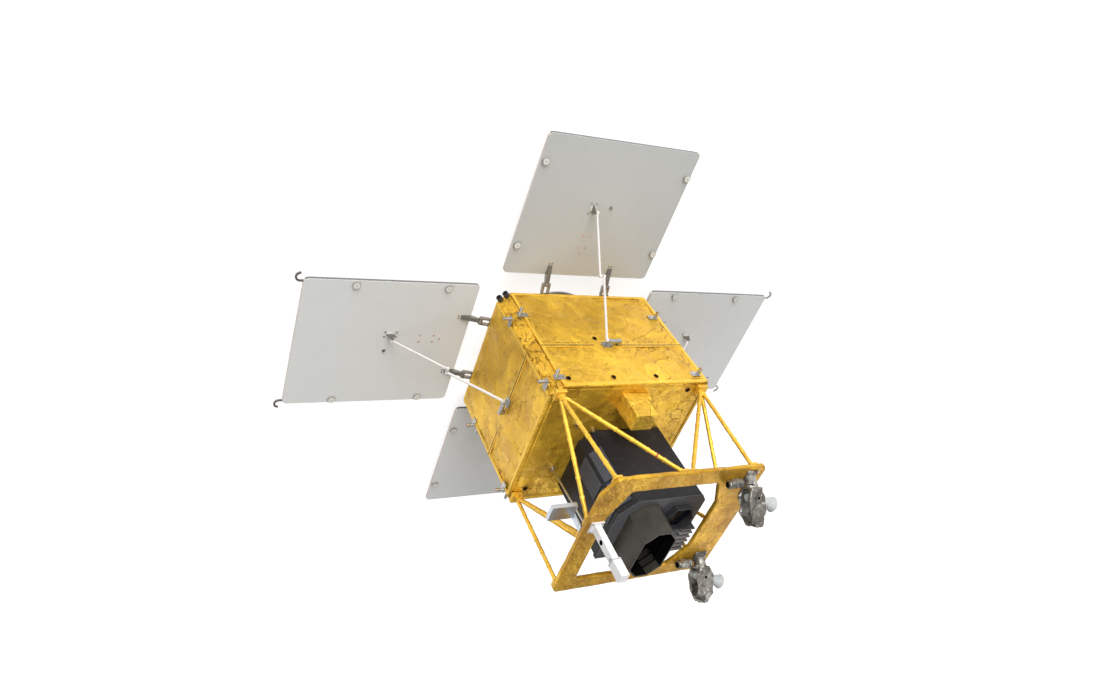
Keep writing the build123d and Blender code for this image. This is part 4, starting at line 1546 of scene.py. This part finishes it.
@dataclass
class SolarPetal(Assembly):
    """One petal with its cells, fittings and folding strut.

    Attributes:
        side: Side of the body that the petal hangs on.
        top: Height of the petal's plain face from the body's rear edge.
        thickness: Thickness of the panel.
        gap: Distance from the body's side to the panel.
        cups: Distances of the cups from the body's side.
        cup_inset: Distance of the cups from the petal's side edges.
        cup_height: Height of the cups.
        fold_drop: How much farther a cup is from the side than its post is from the rear edge.
        corner: Radius of the panel's corners.
        bevel: Width of the bevel along its edges.
        hinge_across: Distance of the hinges from the petal's middle.
        strut_tip: Distance of the strut's lug from the body's side.
        strut_foot: Height of the strut's bracket above the rear edge.
        cell: Length and width of a solar cell.
        cell_gap: Gap between cells.
        cell_margin: Bare margin round the cells.
        cell_thickness: Thickness of a cell.
        ribbon_across: Distance of the two ribbons from a cell's middle.
    """

    side: Side
    top: float = -0.057
    thickness: float = 0.020
    gap: float = 0.097
    cups: tuple[float, float] = (0.285, 0.803)
    cup_inset: float = 0.027
    cup_height: float = 0.012
    fold_drop: float = 0.070
    corner: float = 0.026
    bevel: float = 0.0014
    hinge_across: float = 0.205
    strut_tip: float = 0.548
    strut_foot: float = 0.478
    cell: tuple[float, float] = (0.0800, 0.0400)
    cell_gap: float = 0.0014
    cell_margin: float = 0.006
    cell_thickness: float = 0.0006
    ribbon_across: float = 0.0115

    @property
    def body(self) -> str:
        """Body that the petal belongs to."""
        return f"petal_{self.side.value}"

    @property
    def sizes(self) -> tuple[float, float]:
        """Length outwards and length across of the panel."""
        return (0.978, 0.864) if self.side.outward.x else (0.864, 0.978)

    @property
    def hand(self) -> int:
        """Which way the strut stands off the petal's middle."""
        return 1 if self.side.value.endswith("plus") else -1

    def build(self) -> None:
        """Dresses the petal and its strut."""
        name = self.side.value
        satellite = self.satellite
        satellite.dress(SUBSTRATE, f"{self.body}_cells")
        satellite.dress(HINGE_METAL, f"{self.body}_fittings", f"hinge_base_{name}")
        satellite.dress(FITTING_METAL, f"strut_bracket_{name}")
        satellite.dress(STRUT_WHITE, f"strut_body_link_{name}", f"strut_petal_link_{name}")
        self.panel()
        self.cells()
        self.edges()
        self.marks()
        self.screws()

    def cells(self) -> None:
        """Lays the solar cells and their ribbons on the petal's lower face."""
        low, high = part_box(f"{self.body}_cells")
        rows = []
        for i, size in enumerate(self.cell):
            pitch = size + self.cell_gap
            count = int((high[i] - low[i] - 2 * self.cell_margin) / pitch)
            middle = (low[i] + high[i]) / 2
            rows.append([middle + (step - (count - 1) / 2) * pitch for step in range(count)])
        places = [(Vector((x, y, low.z)), UP) for x in rows[0] for y in rows[1]]
        satellite = self.satellite
        length, width = self.cell
        values = {"Cell Length": length, "Cell Width": width, "Cell Height": self.cell_thickness}
        name = f"{self.body}_solar_cells"
        satellite.scatter(satellite.cells, name, places, values, CELL_BLUE, "solar_cell", self.body)
        ribbons = []
        for y in rows[1]:
            for shift in (-self.ribbon_across, self.ribbon_across):
                start = Vector((rows[0][0] - length / 2, y + shift, low.z - self.cell_thickness))
                end = Vector((rows[0][-1] + length / 2, start.y, start.z))
                ribbons.append(Strip(start, end, -UP, 0.0012, 0.0003))
        name = f"{self.body}_cell_ribbons"
        satellite.lay(name, ribbons, FITTING_METAL, "solar_cell", self.body, pitch=0.30, uneven=0.0)

    def outline(self, inset: float) -> list[tuple[float, float]]:
        """Outline of the panel with round corners.

        Args:
            inset: Distance inwards from the panel's edges.

        Returns:
            Distances outwards and across, in order round the panel.
        """
        near, far = self.gap + self.corner, self.gap + self.sizes[0] - self.corner
        half = self.sizes[1] / 2 - self.corner
        radius = self.corner - inset
        points = []
        for quarter, (out, across) in enumerate(((far, half), (near, half), (near, -half), (far, -half))):
            for step in range(CORNER_STEPS):
                turn = math.radians(90 * quarter + CORNER_STEP * step)
                points.append((out + radius * math.cos(turn), across + radius * math.sin(turn)))
        return points

    def loops(
        self, part: str, rows: tuple[tuple[float, float], ...], finish: Finish, kept: list[int] | None = None
    ) -> Object:
        """Joins outlines of the panel at several heights into a piece.

        Args:
            part: What the piece's name ends with.
            rows: Inset and height above the rear edge of each outline.
            finish: Finish of the piece.
            kept: Numbers of the outline's stretches that get faces, or None for a closed board.

        Returns:
            The piece.
        """
        build = bmesh.new()
        outlines = []
        for inset, up in rows:
            ring = self.outline(inset)
            outlines.append([self.satellite.point(self.side, out, across, up) for out, across in ring])
        rings = skin(build, outlines, kept, closed=kept is not None)
        if kept is None:
            build.faces.new(rings[0])
            build.faces.new(rings[-1])
        bmesh.ops.delete(build, geom=[v for v in build.verts if not v.link_faces], context="VERTS")
        name = f"{self.body}_{part}"
        return self.satellite.add(name, mesh_from(name, build), finish, "petal_grey", self.body)

    def panel(self) -> None:
        """Makes the honeycomb panel with its round corners and bevelled edges."""
        top, low, bevel = self.top, self.top - self.thickness, self.bevel
        rows = ((bevel, low), (0.0, low + bevel), (0.0, top - bevel), (bevel, top))
        # The +Y petal takes a darker copy of the grey: painted shade.
        piece = self.loops("board", rows, PETAL_PAINTED_SHADE if self.side is Side.Y_PLUS else PETAL_GREY)
        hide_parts(f"{self.body}_panel")

    def edges(self) -> None:
        """Closes the honeycomb's edge with tape; where it faces +Y the tape is dark grey, a painted shade."""
        sunk, proud, margin = 0.0003, 0.0007, 0.0026
        low, top = self.top - self.thickness + margin, self.top - margin
        rows = ((sunk, low), (-proud, low), (-proud, top), (sunk, top))
        pale, shaded = [], []
        for k in range(4 * CORNER_STEPS):
            quarter, step = divmod(k, CORNER_STEPS)
            turn = math.radians(90 * quarter + min(CORNER_STEP * (step + 0.5), 90))
            facing = self.side.outward * math.cos(turn) + self.side.across * math.sin(turn)
            (shaded if facing.y > 0.7 else pale).append(k)
        self.loops("edge_tape", rows, PETAL_EDGE, pale)
        self.loops("edge_painted_shade", rows, PETAL_EDGE_PAINTED_SHADE, shaded)

    def marks(self) -> None:
        """Sets the inserts and plugs round the strut's lug, and the faces of the cups with grey dots as
        painted shade in their bores.
        """
        satellite = self.satellite
        spots = ((0.371, 0.067), (0.371, 0.020), (0.290, 0.066), (0.290, 0.020), (0.250, 0.041))
        inserts = [(out, self.hand * across) for out, across in spots]
        cups = [(out, across) for out, across, _ in self.corners()]
        plug, foot = (0.566, -self.hand * 0.043), (self.strut_tip, self.hand * 0.066)
        for part, places, radius, height, finish, slot in (
            ("inserts", inserts, 0.0075, 0.0006, PETAL_MARK, "petal_grey"),
            ("cup_sleeves", cups, 0.0212, self.cup_height + 0.0008, CUP_SHADE, "fitting_metal"),
            ("cup_faces", cups, 0.0182, self.cup_height + 0.0016, CUP_LIGHT, "fitting_metal"),
            # Grey dots in the cups' middles: painted shade in their bores.
            ("cup_bores", cups, 0.0042, self.cup_height + 0.0019, CUP_SHADE, "fitting_metal"),
            ("lug_plug", [plug], 0.009, 0.007, HINGE_METAL, "hinge_metal"),
            ("lug_foot", [foot], 0.0225, 0.0040, CUP_LIGHT, "hinge_metal"),
        ):
            points = [(satellite.point(self.side, *place, self.top), UP) for place in places]
            satellite.set_buttons(f"{self.body}_{part}", points, radius, height, finish, slot, self.body)

    def corners(self) -> list[tuple[float, float, int]]:
        """Distance outwards, distance across and hand of each cup."""
        reach = self.sizes[1] / 2 - self.cup_inset
        return [(out, edge * reach, edge) for out in self.cups for edge in (-1, 1)]

    def posts(self, outwards: float, shifts: tuple[float, ...] = (0.0,)) -> Places:
        """Places on the hold-down posts, which meet the cups of the folded petal.

        Args:
            outwards: Distance from the body's side.
            shifts: Distances inwards from the post's middle.

        Returns:
            Point and facing of each place.
        """
        side = self.side
        return [
            (self.satellite.point(side, outwards, across - edge * shift, out - self.fold_drop), side.outward)
            for out, across, edge in self.corners()
            for shift in shifts
        ]

    def screws(self) -> None:
        """Sets the screws of the lug, the hinge feet and the bracket, and the posts' round heads."""
        satellite, side, hand = self.satellite, self.side, self.hand
        arms = [(across, j) for across in (-self.hinge_across, self.hinge_across) for j in (-1, 1)]
        moving = [(self.strut_tip + i * 0.034, hand * (0.073 + j * 0.016)) for i, j in CORNERS]
        moving += [(0.172, across + j * 0.009) for across, j in arms]
        places = [(satellite.point(side, *spot, self.top), UP) for spot in moving]
        satellite.set_screws(f"{self.body}_screws", places, 0.0035, self.body)
        feet = [(0.008, hand * (0.023 + i * 0.024), self.strut_foot + j * 0.016) for i, j in CORNERS]
        fixed = [(satellite.point(side, *spot), side.outward) for spot in feet]
        fixed += [(satellite.point(side, -0.028, across + j * 0.022, -0.008), -UP) for across, j in arms]
        satellite.set_screws(f"hinge_and_strut_screws_{side.value}", fixed, 0.0036)
        name = f"post_heads_{side.value}"
        satellite.set_buttons(name, self.posts(0.050), 0.0055, 0.0016, PETAL_MARK, "fitting_metal")


@dataclass
class Payload(Assembly):
    """The imager, its hood and radiator.

    Attributes:
        liner_gap: Distance from the hood's wall to its liner.
        baffles: Shares of the hood's depth where the baffles stand.
        finder: Middle of the finder's window along X and Y.
        finder_radius: Radius of the window's corners.
    """

    liner_gap: float = 0.0070
    baffles: tuple[float, ...] = (0.22, 0.48, 0.74)
    finder: tuple[float, float] = (0.182, -0.042)
    finder_radius: float = 0.0885

    def build(self) -> None:
        """Dresses the imager."""
        satellite = self.satellite
        satellite.dress(IMAGER_BLACK, "imager_box")
        satellite.dress(HOOD_BLACK, "imager_hood")
        satellite.dress(RADIATOR_GREY, "imager_radiator")
        self.hood_liner()
        self.glass()
        self.flange_edge_highlight()

    def octagon(self, share: float, inset: float) -> list[Vector]:
        """Outline of the hood at a share of its height, moved inwards.

        Args:
            share: 0 at the imager, 1 at the mouth.
            inset: Distance inwards in metres.

        Returns:
            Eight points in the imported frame.
        """
        low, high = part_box("imager_hood")
        middle = Vector((-0.030, -0.122)).lerp(Vector((-0.014, -0.138)), share)
        size = Vector((0.216, 0.384)).lerp(Vector((0.204, 0.340)), share)
        half_x, half_y = size.x / 2 - inset, size.y / 2 - inset
        cut = 0.060 - inset * 0.58
        z = low.z + (high.z - low.z) * share
        outline = (
            (half_x, -half_y + cut),
            (half_x, half_y - cut),
            (half_x - cut, half_y),
            (-half_x + cut, half_y),
            (-half_x, half_y - cut),
            (-half_x, -half_y + cut),
            (-half_x + cut, -half_y),
            (half_x - cut, -half_y),
        )
        return [Vector((middle.x + x, middle.y + y, z)) for x, y in outline]

    def hood_liner(self) -> None:
        """Lines the hood with baffles that narrow the way in."""
        build = bmesh.new()
        shares = [0.075]
        for baffle in self.baffles:
            shares += [baffle, baffle + 0.012]
        shares.append(0.985)
        skin(build, [self.octagon(share, self.liner_gap) for share in shares])
        for baffle in self.baffles:
            skin(build, [self.octagon(baffle, self.liner_gap + inset) for inset in (0.0, 0.016)])
        mesh = mesh_from("hood_liner", build, outward=False)
        # The liner's near-black is the baffles' black paint, darkened further as painted shade inside the
        # hood.
        self.satellite.add("hood_liner", mesh, HOLE_BLACK, "hood_black")

    def glass(self) -> None:
        """Sets the dark windows at the bottom of the hood and the finder."""
        build = bmesh.new()
        finder = Vector((*self.finder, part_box("imager_radiator")[0].z + 0.004))
        ring = []
        for k in range(6):
            turn = math.tau * k / 6
            ring.append(finder + Vector((math.cos(turn), math.sin(turn), 0)) * self.finder_radius)
        for outline in (self.octagon(0.08, self.liner_gap), ring):
            build.faces.new([build.verts.new(point) for point in outline])
        mesh = mesh_from("aperture_glass", build, outward=False)
        self.satellite.add("aperture_glass", mesh, GLASS_BLACK, "hood_black")

    def flange_edge_highlight(self) -> None:
        """Lays a grey strip along the front flange's edge as a painted highlight."""
        top, left, right, back, cut = 1.491, -0.209, 0.332, 0.104, 0.040
        strips = []
        for first, last in (
            ((left, 0.015), (-0.120, back)),
            ((-0.120, back), (right - cut, back)),
            ((right - cut, back), (right, 0.055)),
            ((left, -0.330), (left, 0.015)),
        ):
            strips.append(Strip(Vector((*first, top)), Vector((*last, top)), UP, 0.004, 0.0012))
        name = "imager_flange_edge_highlight"
        self.satellite.lay(name, strips, FLANGE_HIGHLIGHT, "imager_black", pitch=0.05, uneven=0.05)


@dataclass
class Antennas(Assembly):
    """The mast, the flat antenna and the two gimbals.

    Attributes:
        across: Distance of the gimbals from the axis along X.
        places: Name and Y of each gimbal.
        reach: Distance of the tilt axis from the frame.
        rest_angle: Rest angle of the horns in degrees.
        mouth_reach: Distance of a horn's mouth from the tilt axis.
        mouth_radius: Radius of a horn's mouth.
        rim_radius: Radius of the rolled rim.
    """

    across: float = 0.404
    places: tuple[tuple[str, float], ...] = (("upper", 0.352), ("lower", -0.290))
    reach: float = 0.112
    rest_angle: float = 20.0
    mouth_reach: float = 0.1375
    mouth_radius: float = 0.0385
    rim_radius: float = 0.0021

    def build(self) -> None:
        """Dresses the antennas and their gimbals."""
        satellite = self.satellite
        satellite.dress(MAST_WHITE, "telemetry_mast")
        satellite.dress(FEED_SILVER, "patch_antenna", "feed_rod")
        satellite.dress(SENSOR_BLACK, "rear_sensors")
        self.mast_details()
        self.sensor_glass()
        rough = ((0.052, 0.0030), (0.022, 0.0011))
        for seed, (name, along) in enumerate(self.places):
            yoke = f"gimbal_{name}_yoke"
            satellite.wrap(f"gimbal_{name}_stator", SILVER_FOIL, "silver_foil", 0.0036, rough, 60 + seed)
            satellite.wrap(yoke, SILVER_FOIL, "silver_foil", 0.0036, rough, 70 + seed, yoke)
            satellite.dress(HORN_WHITE, f"gimbal_{name}_horn")
            self.gimbal_details(name, along)

    def mast_details(self) -> None:
        """Sets the mast's two ports, one a near-black disc as painted shade in its hole, and its collar."""
        satellite = self.satellite
        left = Vector((-1, 0, 0))
        for name, up, radius, finish in (
            # Near-black disc: painted shade in the mast's hole.
            ("mast_port", 1.689, 0.0125, HOLE_BLACK),
            ("mast_plug", 1.791, 0.0095, EQUIPMENT_GREY),
        ):
            places = [(Vector((-0.441, 0.090, up)), left)]
            satellite.set_buttons(name, places, radius, 0.0016, finish, "sensor_black")
        joint = Vector((-0.424, 0.090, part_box("telemetry_mast")[1].z - 0.094))
        strips = []
        for side in Side:
            outward = side.outward
            sideways = Vector((abs(outward.y), abs(outward.x), 0))
            reach, half = (0.023, 0.026) if outward.x else (0.026, 0.023)
            middle = joint + outward * reach
            strips.append(Strip(middle - sideways * half, middle + sideways * half, outward, 0.005, 0.0012))
        satellite.lay("mast_collar", strips, EQUIPMENT_GREY, "equipment_grey", pitch=0.02, uneven=0.0)

    def sensor_glass(self) -> None:
        """Sets a lens in each rear corner sensor."""
        middle = Vector((-0.470, 0.400, self.satellite.rear + 0.017)) + CORNER_OUT * 0.030
        places = [(middle + CORNER_ACROSS * spread, CORNER_OUT) for spread in (-0.021, 0.021)]
        self.satellite.set_buttons("rear_sensor_lenses", places, 0.011, 0.002, GLASS_BLACK, "sensor_black")

    def gimbal_details(self, name: str, along: float) -> None:
        """Sets a gimbal's can caps, its cheek bosses and the horn's rim.

        Args:
            name: Name of the gimbal.
            along: Y of the gimbal.
        """
        tilt = math.radians(45.0)
        long_axis = Vector((0, -math.sin(tilt), math.cos(tilt)))
        cross_axis = Vector((0, math.cos(tilt), math.sin(tilt)))
        root = Vector((self.across, along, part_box("truss_frame")[1].z))
        can = root + Vector((-0.060, -0.027, 0.022))
        right = Vector((1, 0, 0))
        caps = [(can, right), (can - right * 0.090, -right)]
        rings = [(can - right * step, right) for step in (0.012, 0.040, 0.068)]
        yoke = f"gimbal_{name}_yoke"
        pivot = root + long_axis * self.reach
        bosses = [(pivot + cross_axis * (side * 0.043), cross_axis * side) for side in (-1, 1)]
        plugs = [(place + facing * 0.003, facing) for place, facing in bosses]
        for part, places, radius, height, finish, slot, body in (
            (f"gimbal_{name}_can_caps", caps, 0.0145, 0.0030, HOLE_BLACK, "sensor_black", ROOT),
            (f"gimbal_{name}_can_rings", rings, 0.0236, 0.0028, FITTING_METAL, "silver_foil", ROOT),
            (f"{yoke}_bosses", bosses, 0.0155, 0.0050, SILVER_FOIL, "silver_foil", yoke),
            (f"{yoke}_boss_plugs", plugs, 0.0075, 0.0040, HOLE_BLACK, "sensor_black", yoke),
        ):
            self.satellite.set_buttons(part, places, radius, height, finish, slot, body)
        self.horn_rim(name, pivot, long_axis, cross_axis)

    def horn_rim(self, name: str, pivot: Vector, long_axis: Vector, cross_axis: Vector) -> None:
        """Rolls the rim of a horn's mouth.

        Args:
            name: Name of the gimbal.
            pivot: Middle of the tilt axis.
            long_axis: The gimbal's long axis.
            cross_axis: The tilt axis.
        """
        angle = math.radians(self.rest_angle)
        aim = Vector((math.cos(angle), 0, 0)) + long_axis * math.sin(angle)
        up = aim.cross(cross_axis)
        centre = pivot + aim * self.mouth_reach
        steps, sides, roll = 40, 8, self.rim_radius
        outlines = []
        for i in range(steps):
            turn = math.tau * i / steps
            spoke = cross_axis * math.cos(turn) + up * math.sin(turn)
            outline = []
            for k in range(sides):
                bend = math.tau * k / sides
                out = spoke * (self.mouth_radius + roll * math.cos(bend))
                outline.append(centre + out + aim * roll * math.sin(bend))
            outlines.append(outline)
        build = bmesh.new()
        skin(build, outlines, closed=True)
        mesh = mesh_from(f"gimbal_{name}_horn_rim", build)
        self.satellite.add(mesh.name, mesh, HORN_WHITE, "horn_white", f"gimbal_{name}_horn", Shade.SMOOTH)


@dataclass
class Interfaces(Assembly):
    """The launch ring, the hold-downs and what else stays plain metal.

    Attributes:
        bolt_circle: Radius of the ring's bolt circle.
        bolt_count: Bolts on the circle.
    """

    bolt_circle: float = 0.3048
    bolt_count: int = 24

    def build(self) -> None:
        """Dresses the metal nodes and sets the screws of the ring and the hold-down posts."""
        satellite = self.satellite
        satellite.dress(RING_METAL, "launch_ring")
        satellite.dress(FITTING_METAL, "hold_down_posts")
        places = []
        for i in range(self.bolt_count):
            turn = math.tau * (i + 0.5) / self.bolt_count
            spoke = Vector((math.cos(turn), math.sin(turn), 0)) * (self.bolt_circle + 0.008)
            places.append((spoke + UP * (satellite.rear - 0.010), -UP))
        satellite.set_screws("launch_ring_screws", places, 0.0045)
        posts = [place for side in Side for place in SolarPetal(satellite, side).posts(0.005, (0.020, 0.042))]
        satellite.set_screws("hold_down_screws", posts, 0.0032)


def main() -> None:
    """Builds the satellite and the studio in order."""
    logging.basicConfig(level=logging.INFO, format="%(name)s: %(message)s")
    bpy.ops.wm.read_factory_settings(use_empty=True)
    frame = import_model()
    PhotoCamera().build()
    Studio().build()
    satellite = Satellite(frame)
    BodyBlankets(satellite).build()
    Truss(satellite).build()
    for side in Side:
        SolarPetal(satellite, side).build()
    Payload(satellite).build()
    Antennas(satellite).build()
    Interfaces(satellite).build()


if __name__ == "__main__":
    main()
